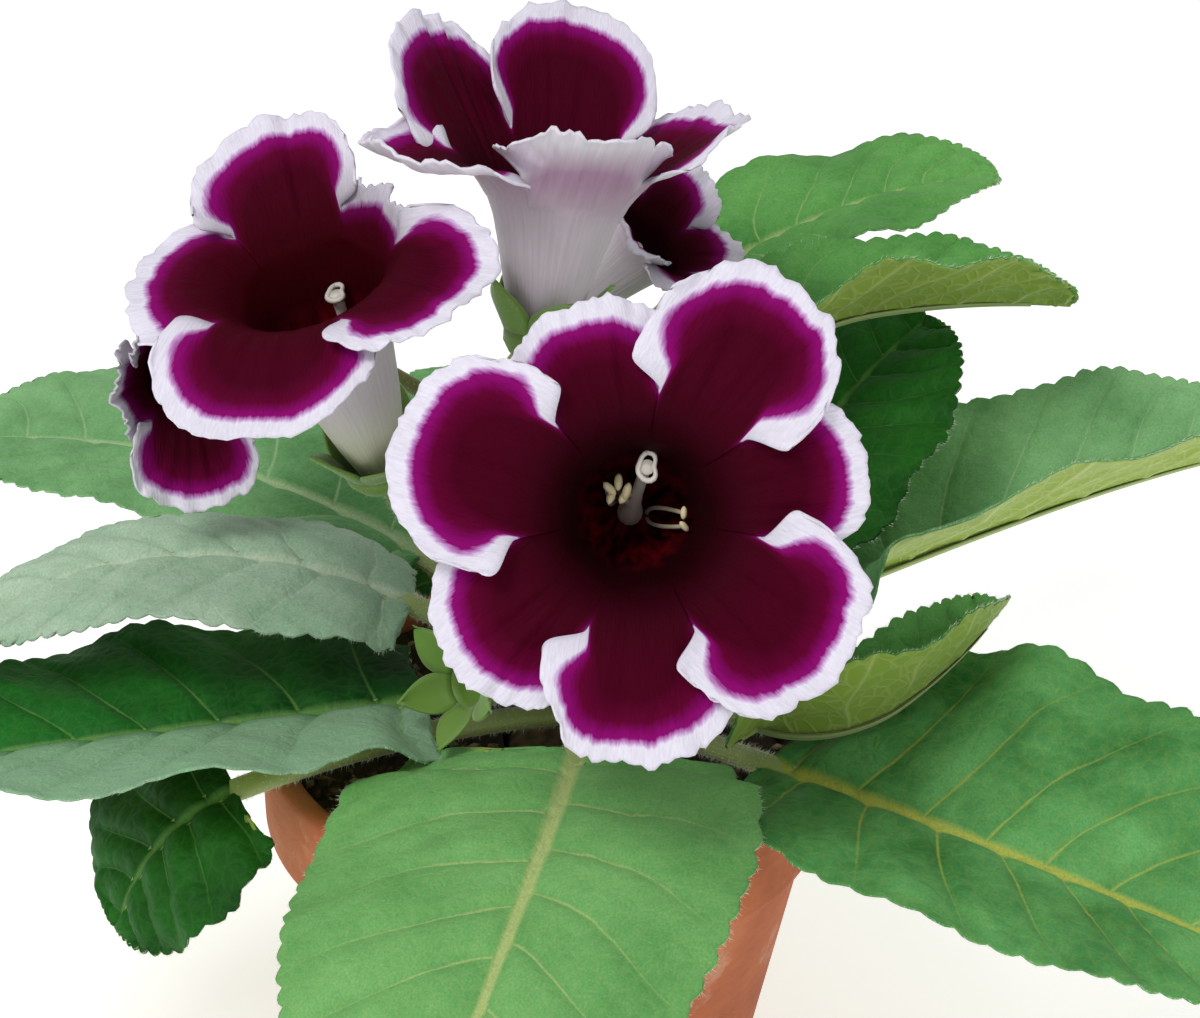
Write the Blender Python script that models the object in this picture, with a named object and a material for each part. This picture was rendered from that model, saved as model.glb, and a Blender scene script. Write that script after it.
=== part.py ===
"""A potted gloxinia: clay pot, potting soil, tuber with its crown, velvety leaves, and bell-shaped blooms.

Metres, +Z up, origin at the centre of the pot's underside. Shapes are worked out in millimetres, and
the plant's own shapes are measured from the crown's axis. Everything is scaled once, in build().
"""

import math
from dataclasses import dataclass

import bpy
import numpy as np

MM = 0.001
GAP = 0.3  # clearance between pieces that touch, mm

# Pot and soil, mm
POT_HEIGHT = 107.0
POT_RIM_RADIUS = 62.0
POT_FOOT_RADIUS = 42.0
POT_RIM_BAND = 22.0
POT_RIM_STEP = 3.0
POT_WALL = 4.5
POT_FLOOR = 6.0
POT_LIP = 1.0  # how much thicker the wall is at the mouth
POT_BEVEL = 1.2
POT_SIDES = 36
DRAIN_RADIUS = 4.0
DRAIN_CIRCLE = 26.0
DRAIN_HOLES = 3
SOIL_TOP = 104.0
SOIL_MIDDLE = 102.0
SOIL_EDGE = 101.0
SOIL_CRUMB = 1.3
SOIL_SEED = 7

# Tuber and crown, mm
CROWN_X = 12.0  # the plant sits a little off the pot's middle
TUBER = ((0.0, -24.0), (12.0, -22.0), (20.0, -13.0), (21.0, -6.0), (17.0, -2.5), (10.5, -1.0))
CROWN_RADIUS = 8.5
CROWN_TOP = 20.0
CROWN_SIDES = 20

# Leaves, mm
BLADE = 1.0
MARGIN = 0.8
PETIOLE_WIDTH = 3.2
PETIOLE_DEPTH = 2.6
RIB_DEPTH = 2.2
TOOTH = 1.5
SCALLOPS = 16
LEAF_ROWS = 9
PETIOLE_ROWS = 3
LEAF_COLUMNS = (-0.6, -1.0, 0.0, 1.0, 0.6)  # outer pair as a share of the half width, inner pair at the rib

# Blooms, mm
PETAL = 0.8
LOBE_COLUMNS = 6
LOBE_ROWS = (0.0, 0.3, 0.6, 0.82, 1.0)
NOTCH = 0.55  # share of a lobe's length at which it parts from its neighbours
OVERLAP = 2.2  # lift of a side that lies over its neighbour
FLARE = 38.0  # lean of the corolla's wall at the ring of notches, degrees
BEND = 14.0  # length over which a lobe turns to its own opening
STAMENS = (  # name, direction round the front bloom's axis, distance from it, depth below the mouth, head
    ("anthers_front", 128, 5.4, 14, 1.8),
    ("anther_pair_front", -4, 9.5, 10, 1.2),
)
STEM_RADIUS = 2.0
STEM_FEET = 5.2  # radius of the circle of stem feet on the crown
STEM_ROWS = 8
SEPAL = 0.9
SEPALS = 5
CUP_SHARE = 0.42  # radius of the calyx cup as a share of the ring of notches
CUP_FOOT = 4.5  # from the cup's seat down to the stem's end
CUP_RIM = 3.0
PISTIL_RADII = (0.125, 0.167, 0.117, 0.067, 0.058, 0.058, 0.125, 0.1)  # from ovary to stigma, shares of the ring
FILAMENT = 0.6

# Colours, linear
LEAF_GREEN = (0.10, 0.26, 0.09)
PETAL_PURPLE = (0.16, 0.004, 0.05)
STEM_GREEN = (0.24, 0.30, 0.10)
CREAM = (0.80, 0.74, 0.50)
CLAY = (0.52, 0.22, 0.12)
SOIL_BROWN = (0.12, 0.085, 0.06)
TUBER_BROWN = (0.22, 0.14, 0.08)


@dataclass(frozen=True)
class Leaf:
    """One leaf, measured along its midrib from the crown. Lengths in mm, angles in degrees."""

    name: str
    heading: tuple  # plan direction at the crown, the blade's base, middle and tip, anticlockwise from +X
    height: float  # where the petiole leaves the crown, above the soil
    petiole: float
    length: float
    width: float
    rise: tuple  # slope at the same four places
    roll: tuple = (0.0, 0.0)  # lift of the left side at the blade's base and tip
    fold: tuple = (15.0, 15.0)  # lift of the left and right halves from flat
    curl: tuple = (-20.0, -20.0)  # further turn of each half by its margin
    wave: tuple = (2.0, 2.5, 0.0)  # margin wave: height, waves along the blade, phase
    lobes: float = 6.0  # how far the base corners reach back beside the petiole
    taper: float = 0.85  # under 1 puts the widest place nearer the petiole
    share: tuple = (1.0, 1.0)  # left and right half widths as shares


@dataclass(frozen=True)
class Lobe:
    """One corolla lobe. Angles in degrees, lengths in mm."""

    angle: float  # round the bloom's axis, anticlockwise as seen looking into the mouth
    reach: float  # from the ring of notches to the tip
    opening: float  # lean from the axis, 90 lies flat
    curl: float = 0.0  # further turn of the tip
    over: tuple = (0, 0)  # 1 where a side lies over its neighbour, -1 where under: clockwise side first
    spread: float = 12.0  # how far each side reaches past its notch
    cup: float = 0.0  # forward lift of both sides


@dataclass(frozen=True)
class Bloom:
    """One flower: its mouth's centre above the soil, where it faces, its tube and its lobes."""

    name: str
    mouth: tuple
    faces: tuple  # azimuth and elevation of the axis
    tube: float
    ring: float  # radius of the ring of notches
    lobes: tuple
    foot: float  # azimuth of its stem's foot on the crown's top
    ruffle: float = 1.0
    pull: tuple = (0.5, 0.5)  # how far the stem keeps its first and last directions, as shares of its span
    sepal: tuple = (13.0, 30.0)  # length, lean from the axis


LEAVES = (
    Leaf(
        "leaf_front", (262, 262, 255, 248), 10, 26, 116, 98, (22, 8, -8, -34), (0, 0), (12, 6), (-24, -32),
        (2.2, 2.2, 40), 18, 0.72, (0.8, 0.93),
    ),
    Leaf(
        "leaf_front_right", (-40, -40, -32, -24), 6, 37, 120, 100, (8, 6, -3, -12), (4, 12), (17, 18),
        (-10, -12), (3.0, 3.2, 0), 4, 0.76, (0.94, 0.6),
    ),
    Leaf(
        "leaf_curled_right", (-26, -44, 26, 50), 13.5, 33, 62, 42, (2, 8, 24, 24), (6, 8), (16, 66),
        (-8, 12), (1.4, 3.0, 0), 2, 0.9, (0.7, 1.0),
    ),
    Leaf(
        "leaf_right", (28, 26, 18, 15), 14.5, 44, 118, 64, (4, 8, 11, 4), (0, 0), (28, 43), (-8, 4),
        (1.6, 2.6, 60), 2, 0.95,
    ),
    Leaf(
        "leaf_upper_right", (63, 46, 14, 6), 15, 56, 92, 52, (76, 34, 2, -8), (0, 0), (28, 44), (-6, 6),
        (1.4, 3.0, 0), 4, 0.95, (0.74, 1.0),
    ),
    Leaf(
        "leaf_back_right", (99, 56, 14, 4), 15, 110, 88, 54, (38, 5, 18, 0), (0, 0), (12, 18), (-12, -16),
        (2.4, 2.5, 20), 4, 0.95,
    ),
    Leaf(
        "leaf_dark_right", (46, 46, 42, 40), 8, 40, 70, 58, (24, 36, 34, 20), (0, 0), (12, 12), (-16, -16),
        (2.0, 2.5, 90), 5, 0.85,
    ),
    Leaf(
        "leaf_front_left", (196, 192, 188, 186), 12.5, 30, 128, 66, (4, 0, -3, -8), (0, 0), (19, 10),
        (-4, -10), (2.2, 3.0, 0), 8, 0.85,
    ),
    Leaf(
        "leaf_left", (176, 176, 178, 180), 17, 34, 112, 60, (18, 28, -8, -42), (-8, -4), (8, 6),
        (-20, -40), (2.6, 2.2, 30), 6, 0.85, (0.7, 0.5),
    ),
    Leaf(
        "leaf_back_left", (136, 141, 150, 156), 15, 44, 146, 80, (12, 8, -4, -18), (-4, -4), (12, 12),
        (-12, -16), (2.0, 2.4, 0), 6, 0.85, (0.7, 1.0),
    ),
    Leaf(
        "leaf_low_left", (203, 203, 196, 190), 6, 74, 42, 46, (10, -10, -52, -76), (-12, -24), (4, 4),
        (-12, -12), (1.6, 2.0, 0), 6, 0.85,
    ),
    Leaf(
        "leaf_back", (94, 96, 102, 106), 6, 42, 104, 72, (12, 14, 0, -24), (0, 0), (12, 12), (-16, -16),
        (2.4, 2.6, 0), 4, 0.85,
    ),
    Leaf(
        "leaf_far_left", (129, 134, 138, 141), 10, 44, 96, 58, (2, 4, -8, -34), (0, 0), (10, 10),
        (-16, -16), (2.2, 2.4, 0), 7, 0.85,
    ),
)

BLOOMS = (
    Bloom(
        "front", (7, -52, 84), (-88, 30), 38, 15,
        (
            Lobe(163, 36, 84, 8, (1, 1), 11, 1.5),
            Lobe(109, 29, 88, 0, (-1, -1), 8),
            Lobe(58, 40, 86, 0, (1, 1), 12, 1.0),
            Lobe(18, 32, 90, 6, (-1, -1), 8),
            Lobe(-34, 36, 88, 0, (1, 1), 12, 1.0),
            Lobe(-88, 35, 86, 0, (1, -1), 12),
            Lobe(-134, 33, 88, 0, (-1, -1), 8),
        ),
        325, 1.0, (0.3, 0.5),
    ),
    Bloom(
        "left", (-57, -8, 110), (218, 72), 48, 15,
        (
            Lobe(96, 29, 58, 0, (1, 1), 12),
            Lobe(176, 24, 86, 0, (-1, -1), 10),
            Lobe(255, 34, 102, 0, (1, -1), 10),
            Lobe(-33, 31, 88, 0, (1, 1), 10),
            Lobe(38, 13, 30, 0, (-1, -1), 8),
        ),
        210,
    ),
    Bloom(
        "top", (-9, 11.5, 120), (68, 72), 29, 14,
        (
            Lobe(92, 45, 35, 0, (1, 1), 10),
            Lobe(144, 41, 38, 0, (-1, -1), 8),
            Lobe(212, 32, 92, -40, (1, -1), 10),
            Lobe(280, 22, 42, 0, (1, 1), 14),
            Lobe(16, 32, 52, 0, (-1, -1), 8),
        ),
        30, 1.0, (0.5, 0.2),
    ),
    Bloom(
        "low_left", (-87, 15, 80), (280, 2), 24, 9.5,
        (
            Lobe(-10, 22, 78, 0, (1, 1), 12),
            Lobe(66, 14, 66, 0, (-1, -1), 8),
            Lobe(124, 12, 50, 0, (1, 1), 8),
            Lobe(190, 12, 40, 0, (-1, 1), 8),
            Lobe(264, 11, 28, 0, (-1, -1), 8),
        ),
        140, 0.8, (0.6, 0.1),
    ),
    Bloom(
        "back", (11, 78, 80), (-20, 46), 32, 9,
        (
            Lobe(90, 18, 60, 0, (1, 1), 10),
            Lobe(162, 16, 60, 0, (-1, -1), 10),
            Lobe(234, 16, 70, 0, (1, 1), 10),
            Lobe(306, 16, 80, 0, (-1, -1), 10),
            Lobe(18, 16, 80, 0, (1, -1), 8),
        ),
        90, 0.8,
    ),
)

SPENT = Bloom("spent", (-26, -22, 26), (220, 16), 0, 9, (), 270, 0.0, (0.5, 0.4), (12.0, 42.0))


def smooth(t):
    """0 to 1 with a soft start and end."""
    t = np.clip(t, 0.0, 1.0)
    return t * t * (3.0 - 2.0 * t)


def unit(v):
    """Each vector of an array at length 1."""
    return v / np.linalg.norm(v, axis=-1, keepdims=True)


class LeafForm:
    """Turns a leaf's flat outline into its place in the plant."""

    STEPS = 240

    def __init__(self, leaf):
        self.leaf = leaf
        self.total = leaf.petiole + leaf.length
        s = np.linspace(0.0, self.total, self.STEPS)
        knots = (0.0, leaf.petiole, leaf.petiole + 0.5 * leaf.length, self.total)
        rise = np.radians(np.interp(s, knots, leaf.rise))
        azimuth = np.radians(np.interp(s, knots, leaf.heading))
        self.tangents = np.stack(
            [np.cos(rise) * np.cos(azimuth), np.cos(rise) * np.sin(azimuth), np.sin(rise)], axis=1
        )
        start_radius = CROWN_RADIUS + GAP + PETIOLE_DEPTH * max(0.0, math.sin(rise[0])) + 0.1
        out = np.array([math.cos(azimuth[0]), math.sin(azimuth[0]), 0.0])
        start = out * start_radius + np.array([0.0, 0.0, SOIL_TOP + leaf.height])
        step = s[1] - s[0]
        middles = 0.5 * (self.tangents[1:] + self.tangents[:-1])
        self.points = np.vstack([start, start + np.cumsum(middles * step, axis=0)])
        self.s = s

    def frame(self, s):
        """The midrib's point and its along, left and up directions at arc lengths s."""
        inside = np.clip(s, 0.0, self.total)
        at = np.stack([np.interp(inside, self.s, self.points[:, k]) for k in range(3)], axis=-1)
        along = unit(np.stack([np.interp(inside, self.s, self.tangents[:, k]) for k in range(3)], axis=-1))
        at = at + along * (s - inside)[..., None]
        left = unit(np.stack([-along[..., 1], along[..., 0], np.zeros_like(s)], axis=-1))
        up = np.cross(along, left)
        u = np.clip((s - self.leaf.petiole) / self.leaf.length, 0.0, 1.0)
        roll = np.radians(self.leaf.roll[0] + (self.leaf.roll[1] - self.leaf.roll[0]) * u)
        roll = roll * smooth(s / self.leaf.petiole)
        c, d = np.cos(roll)[..., None], np.sin(roll)[..., None]
        return at, along, c * left + d * up, c * up - d * left

    def place(self, s, x):
        """Points of the blade's middle surface at arc length s and x to the left of the midrib."""
        leaf = self.leaf
        at, along, left, up = self.frame(s)
        u = np.clip((s - leaf.petiole) / leaf.length, 0.0, 1.0)
        half = 0.5 * leaf.width
        reach = np.abs(x) / half
        fold = np.radians(np.where(x > 0, leaf.fold[0], leaf.fold[1]) * smooth(u / 0.12 + 0.1))
        curl = np.radians(np.where(x > 0, leaf.curl[0], leaf.curl[1]))
        lift = fold + 0.5 * curl * reach
        height, waves, phase = leaf.wave
        ripple = height * np.sin(2 * math.pi * waves * u + math.radians(phase) + 0.7 * np.sign(x))
        ripple = ripple * np.minimum(reach, 1.3) ** 2.2 * smooth(u / 0.15)
        flat = (x * np.cos(lift))[..., None] * left
        raised = (np.abs(x) * np.sin(lift) + ripple)[..., None] * up
        return at + flat + raised

    def normal(self, s, x, d=0.4):
        """Unit normals of the middle surface, upwards."""
        along = self.place(s + d, x) - self.place(s - d, x)
        across = self.place(s, x + d) - self.place(s, x - d)
        return unit(np.cross(along, across))

    def half_width(self, u, side):
        """Half width of the smooth outline at a share u of the blade's length."""
        leaf = self.leaf
        round_off = (1.0 - np.abs(2.0 * u**leaf.taper - 1.0) ** 2.2) ** (1 / 2.2)
        share = leaf.share[0] if side > 0 else leaf.share[1]
        return PETIOLE_WIDTH * (1.0 - u) + 0.5 * leaf.width * share * round_off

    def station(self, tau, side=1):
        """Share of the blade's length at a share tau of the margin's length."""
        u = np.linspace(0.0, 1.0, self.STEPS)
        w = self.half_width(u, side)
        arc = np.concatenate([[0.0], np.cumsum(np.hypot(np.diff(u * self.leaf.length), np.diff(w)))])
        return np.interp(np.asarray(tau) * arc[-1], arc, u)

    def set_back(self, u, share):
        """How far a point lies back from its station, which rounds the corners beside the petiole."""
        return self.leaf.lobes * np.abs(share) ** 1.4 * (1.0 - u) ** 4 * smooth(u / 0.06)

    def margin(self, tau, side, tooth):
        """Flat coordinates (s, x) of the scalloped margin."""
        d = 1e-3
        u = self.station(tau, side)
        before, after = self.station(np.clip(tau - d, 0, 1), side), self.station(np.clip(tau + d, 0, 1), side)
        w, w0, w1 = (self.half_width(k, side) for k in (u, before, after))
        run = np.stack([(after - before) * self.leaf.length, w1 - w0], axis=-1)
        run = unit(run + 1e-9)
        scallop = tooth * np.abs(np.sin(math.pi * SCALLOPS * tau)) * smooth(tau / 0.05)
        s = self.leaf.petiole + u * self.leaf.length - self.set_back(u, 1.0) - run[..., 1] * scallop
        x = w + run[..., 0] * scallop
        return s, side * x


def zipper(inner, outer, inner_at, outer_at):
    """Triangles between two rows of vertices whose places along the row are given."""
    faces, i, k = [], 0, 0
    while i < len(inner) - 1 or k < len(outer) - 1:
        next_inner = inner_at[i + 1] if i < len(inner) - 1 else math.inf
        next_outer = outer_at[k + 1] if k < len(outer) - 1 else math.inf
        if next_inner + inner_at[i] < next_outer + outer_at[k]:
            faces.append((inner[i], inner[i + 1], outer[k]))
            i += 1
        else:
            faces.append((inner[i], outer[k + 1], outer[k]))
            k += 1
    return [f for f in faces if len(set(f)) == 3]


def leaf_mesh(leaf):
    """Points and triangles of one closed leaf: petiole, rib and scalloped blade."""
    form = LeafForm(leaf)
    points, top, bottom = [], {}, {}

    def add(p):
        points.append(np.asarray(p))
        return len(points) - 1

    def add_pair(key, s, x, upper, lower):
        s, x = np.array([float(s)]), np.array([float(x)])
        at, n = form.place(s, x)[0], form.normal(s, x)[0]
        top[key], bottom[key] = add(at + n * upper), add(at - n * lower)

    q = (-0.8, -0.45, 0.0, 0.45, 0.8)
    petiole_at = [leaf.petiole * k / PETIOLE_ROWS for k in range(PETIOLE_ROWS + 1)]
    rows = []
    for i, s in enumerate(petiole_at):
        key = ("p", i)
        rows.append(key)
        for c, share in enumerate(q):
            bulge = PETIOLE_DEPTH * math.sqrt(1 - share**2)
            add_pair((key, c), s, share * PETIOLE_WIDTH, 0.7 * bulge, bulge)
        for side in (-1, 1):
            add_pair((key, "m", side), s, side * PETIOLE_WIDTH, 0.5 * MARGIN, 0.5 * MARGIN)
    taus = [k / LEAF_ROWS for k in range(1, LEAF_ROWS)]
    for i, tau in enumerate(taus):
        key = ("b", i)
        rows.append(key)
        for c, share in enumerate(LEAF_COLUMNS):
            side = -1 if share < 0 else 1
            u = float(form.station(tau, side))
            rib = PETIOLE_WIDTH * (1 - 0.75 * u)
            x = share * rib if c in (1, 2, 3) else share * float(form.half_width(u, side))
            back = float(form.set_back(u, share if c in (0, 4) else 0.0))
            depth = RIB_DEPTH * (1 - 0.8 * u) if c == 2 else 0.0
            s = leaf.petiole + u * leaf.length - back
            add_pair((key, c), s, x, 0.5 * BLADE, 0.5 * BLADE + depth)
    add_pair("tip", leaf.petiole + leaf.length, 0.0, 0.5 * MARGIN, 0.5 * MARGIN)

    margins = {}
    last = rows[PETIOLE_ROWS]
    fine = 2 * SCALLOPS
    for side in (-1, 1):
        keys, at = [(last, "m", side)], [0.0]
        for k in range(1, fine):
            tau = np.array([k / fine])
            s, x = form.margin(tau, side, TOOTH)
            add_pair(("e", side, k), s[0], x[0], 0.5 * MARGIN, 0.5 * MARGIN)
            keys.append(("e", side, k))
            at.append(k / fine)
        margins[side] = (keys + ["tip"], at + [1.0])

    faces = []
    for skin, flip in ((top, False), (bottom, True)):
        sheet = []
        for a, b in zip(rows[:-1], rows[1:]):
            for c in range(4):
                w, x, y, z = (skin[(a, c)], skin[(b, c)], skin[(b, c + 1)], skin[(a, c + 1)])
                sheet += [(w, x, y), (w, y, z)] if c < 2 else [(w, x, z), (x, y, z)]
        for c in range(4):
            sheet.append((skin[(rows[-1], c)], skin["tip"], skin[(rows[-1], c + 1)]))
        for a, b in zip(rows[:PETIOLE_ROWS], rows[1 : PETIOLE_ROWS + 1]):
            for side, c in ((-1, 0), (1, 4)):
                w, x, y, z = skin[(a, "m", side)], skin[(b, "m", side)], skin[(b, c)], skin[(a, c)]
                sheet += [(w, x, y), (w, y, z)] if side < 0 else [(z, y, w), (y, x, w)]
        for side, c in ((-1, 0), (1, 4)):
            keys, at = margins[side]
            inner = [skin[(r, c)] for r in rows[PETIOLE_ROWS:]] + [skin["tip"]]
            strip = zipper(inner, [skin[k] for k in keys], [0.0, *taus, 1.0], at)
            sheet += strip if side > 0 else [f[::-1] for f in strip]
        faces += [f[::-1] if flip else f for f in sheet]
    for side in (-1, 1):
        keys = [(r, "m", side) for r in rows[:PETIOLE_ROWS]] + margins[side][0]
        for a, b in zip(keys[:-1], keys[1:]):
            quad = (top[a], top[b], bottom[b], bottom[a])
            ring = quad if side > 0 else quad[::-1]
            faces += [ring[:3], (ring[0], ring[2], ring[3])]
    first = rows[0]
    around = [(first, "m", -1), *[(first, c) for c in range(5)], (first, "m", 1)]
    rim = [top[k] for k in around] + [bottom[k] for k in reversed(around)]
    hub = add(np.mean([points[k] for k in rim], axis=0))
    faces += [(hub, a, b) for a, b in zip(rim, rim[1:] + rim[:1])]
    return np.array(points), faces


class BloomForm:
    """Places points of a corolla from its lobes and its tube."""

    STEPS = 160
    # Shares of the tube's length and of the ring's radius
    TUBE = ((0.0, 0.30), (0.18, 0.46), (0.42, 0.62), (0.68, 0.76), (0.88, 0.9), (1.0, 1.0))

    def __init__(self, bloom):
        self.bloom = bloom
        azimuth, elevation = (math.radians(k) for k in bloom.faces)
        flat = math.cos(elevation)
        self.axis = np.array([flat * math.cos(azimuth), flat * math.sin(azimuth), math.sin(elevation)])
        back = np.array([0.0, 1.0, 0.0])
        self.up = unit(back - back @ self.axis * self.axis)
        self.right = np.cross(self.up, self.axis)
        self.centre = np.array(bloom.mouth) + np.array([0.0, 0.0, SOIL_TOP])
        angles = [lobe.angle for lobe in bloom.lobes]
        self.order = sorted(range(len(angles)), key=lambda k: angles[k] % 360)
        self.shares = {}
        for place, k in enumerate(self.order):
            before = angles[self.order[place - 1]]
            after = angles[self.order[(place + 1) % len(self.order)]]
            back = ((angles[k] - before) % 360) / 2
            ahead = ((after - angles[k]) % 360) / 2
            self.shares[k] = (back, ahead)

    def world(self, r, angle, z):
        """Points from polar coordinates about the axis, angle in radians."""
        return (
            self.centre
            + (r * np.cos(angle))[..., None] * self.right
            + (r * np.sin(angle))[..., None] * self.up
            + z[..., None] * self.axis
        )

    def tube(self, share, angle):
        """Points of the tube's middle surface, share 0 at its foot and 1 at the ring of notches."""
        at, radius = zip(*self.TUBE)
        r = self.bloom.ring * np.interp(share, at, radius)
        return self.world(r, angle, (share - 1.0) * self.bloom.tube)

    def lobe(self, k, t, a):
        """Points of lobe k's middle surface: t from ring to margin, a across from -1 to 1."""
        lobe, ring = self.bloom.lobes[k], self.bloom.ring
        reach = lobe.reach * (1.0 - 0.45 * np.abs(a) ** 2.6)
        along = t * reach
        s = np.linspace(0.0, lobe.reach * 1.2, self.STEPS)
        lean = FLARE + (lobe.opening - FLARE) * smooth(s / BEND)
        lean = np.radians(lean + lobe.curl * smooth((s / lobe.reach - 0.6) / 0.4))
        step = s[1] - s[0]
        r_line = ring + np.concatenate([[0.0], np.cumsum(np.sin(0.5 * (lean[1:] + lean[:-1])) * step)])
        z_line = np.concatenate([[0.0], np.cumsum(np.cos(0.5 * (lean[1:] + lean[:-1])) * step)])
        r, z, tilt = (np.interp(along, s, line) for line in (r_line, z_line, lean))
        back, ahead = self.shares[k]
        share = np.where(a < 0, back, ahead)
        free = smooth((t - NOTCH) / (1.1 - NOTCH))
        width = share * (1.0 - 0.05 * smooth(t / 0.1)) + lobe.spread * free
        angle = np.radians(lobe.angle + a * width)
        over = np.where(a < 0, lobe.over[0], lobe.over[1])
        edge = smooth((np.abs(a) - 0.35) / 0.65)
        lift = over * OVERLAP * smooth((t - NOTCH + 0.25) / 0.35) * edge + lobe.cup * a**2 * smooth(t / 0.6)
        near = np.maximum(t, np.abs(a) * smooth(t / 0.4)) ** 4
        lift = lift + self.bloom.ruffle * np.sin(2.5 * math.pi * a + 1.3 * k) * near
        return self.world(r - lift * np.cos(tilt), angle, z + lift * np.sin(tilt))

    def lobe_normal(self, k, t, a, d=0.01):
        """Unit normals of a lobe towards the viewer who looks into the mouth."""
        along = self.lobe(k, t + d, a) - self.lobe(k, t - d * (t > d), a)
        side = np.sign(a) * (np.abs(a) > 0.97)
        across = self.lobe(k, t, a + d * (side <= 0)) - self.lobe(k, t, a - d * (side >= 0))
        return unit(np.cross(along, across))


def corolla_mesh(bloom):
    """Points and triangles of one closed corolla: a cup with a floor, opening into its lobes."""
    form = BloomForm(bloom)
    points, faces = [], []

    def add(p):
        points.append(np.asarray(p))
        return len(points) - 1

    columns = np.linspace(-1.0, 1.0, LOBE_COLUMNS + 1)
    ring_angles = []
    for k in form.order:
        back, ahead = form.shares[k]
        widths = np.where(columns < 0, back, ahead)
        ring_angles += [math.radians(bloom.lobes[k].angle + a * w) for a, w in zip(columns[:-1], widths)]
    fine = np.array(ring_angles)
    half_petal = 0.5 * PETAL

    def ring_row(share, angles):
        inner, outer = [], []
        d = 0.02
        for angle in angles:
            at = form.tube(np.array(share), np.array(angle))
            up = form.tube(np.array(min(share + d, 1.0)), np.array(angle))
            up = up - form.tube(np.array(max(share - d, 0.0)), np.array(angle))
            tangent = -math.sin(angle) * form.right + math.cos(angle) * form.up
            n = unit(np.cross(up, tangent))
            inner.append(add(at + n * half_petal))
            outer.append(add(at - n * half_petal))
        return inner, outer

    coarse = fine[::2]
    rows = [ring_row(share, coarse) for share in (0.0, 0.3, 0.62, 0.86)] + [ring_row(1.0, fine)]
    for which, flip in ((0, False), (1, True)):
        sheet = []
        for low, high in zip(rows[:3], rows[1:4]):
            low, high, n = low[which], high[which], len(coarse)
            for i in range(n):
                j = (i + 1) % n
                sheet += [(low[i], high[i], high[j]), (low[i], high[j], low[j])]
        low, high, n = rows[3][which], rows[4][which], len(coarse)
        for i in range(n):
            j, m = (i + 1) % n, 2 * i
            a, b, c = high[m], high[m + 1], high[(m + 2) % (2 * n)]
            sheet += [(low[i], a, b), (low[i], b, low[j]), (low[j], b, c)]
        floor = add(form.centre - form.axis * (bloom.tube + (half_petal if which else -half_petal)))
        sheet += [(floor, rows[0][which][i], rows[0][which][(i + 1) % n]) for i in range(n)]
        faces += [f[::-1] if flip else f for f in sheet]

    inner_ring, outer_ring = rows[4]
    total = len(fine)
    for place, k in enumerate(form.order):
        first = place * LOBE_COLUMNS
        grid = [([inner_ring[(first + c) % total] for c in range(LOBE_COLUMNS + 1)],
                 [outer_ring[(first + c) % total] for c in range(LOBE_COLUMNS + 1)])]
        for t in LOBE_ROWS[1:]:
            ts = np.full(LOBE_COLUMNS + 1, t)
            at, n = form.lobe(k, ts, columns), form.lobe_normal(k, ts, columns)
            grid.append(([add(p + m * half_petal) for p, m in zip(at, n)],
                         [add(p - m * half_petal) for p, m in zip(at, n)]))
        for which, flip in ((0, False), (1, True)):
            sheet = []
            for low, high in zip(grid[:-1], grid[1:]):
                low, high = low[which], high[which]
                for c in range(LOBE_COLUMNS):
                    w, x, y, z = low[c], high[c], high[c + 1], low[c + 1]
                    sheet += [(w, x, y), (w, y, z)] if c < LOBE_COLUMNS // 2 else [(w, x, z), (x, y, z)]
            faces += [f[::-1] if flip else f for f in sheet]
        rim = [(g[0][0], g[1][0]) for g in grid]
        rim += [(grid[-1][0][c], grid[-1][1][c]) for c in range(1, LOBE_COLUMNS + 1)]
        rim += [(g[0][-1], g[1][-1]) for g in reversed(grid[:-1])]
        for (a, b), (c, d) in zip(rim[:-1], rim[1:]):
            faces += [(a, b, d), (a, d, c)]
    return np.array(points), faces


def bezier(a, b, c, d, steps):
    """Points and unit tangents of a cubic curve."""
    t = np.linspace(0.0, 1.0, steps)[:, None]
    at = (1 - t) ** 3 * a + 3 * t * (1 - t) ** 2 * b + 3 * t**2 * (1 - t) * c + t**3 * d
    run = (1 - t) ** 2 * (b - a) + 2 * t * (1 - t) * (c - b) + t**2 * (d - c)
    return at, unit(run)


def rings_along(at, tangents, radii, sides, toward):
    """Circles of points along a curve, without twist, the last one starting at the given direction."""
    rings, right = [], toward
    for p, tangent, r in zip(at[::-1], tangents[::-1], radii[::-1]):
        right = unit(right - right @ tangent * tangent)
        up = np.cross(tangent, right)
        angles = 2 * math.pi * np.arange(sides) / sides
        rings.append(p + r * (np.cos(angles)[:, None] * right + np.sin(angles)[:, None] * up))
    return rings[::-1]


def skin(rings, base=0):
    """Triangles between successive rings whose points run anticlockwise as seen from the far end."""
    faces, n = [], len(rings[0])
    for i in range(len(rings) - 1):
        for k in range(n):
            m = (k + 1) % n
            a, b, c, d = base + i * n + k, base + i * n + m, base + (i + 1) * n + m, base + (i + 1) * n + k
            faces += [(a, b, c), (a, c, d)]
    return faces


def tube_mesh(at, tangents, radii, sides, toward):
    """A closed round bar along a curve."""
    rings = rings_along(at, tangents, radii, sides, toward)
    points, faces = list(np.concatenate(rings)), skin(rings)
    first, last = len(points), len(points) + 1
    points += [at[0], at[-1]]
    top = (len(rings) - 1) * sides
    for k in range(sides):
        m = (k + 1) % sides
        faces += [(first, m, k), (last, top + k, top + m)]
    return np.array(points), faces


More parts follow.
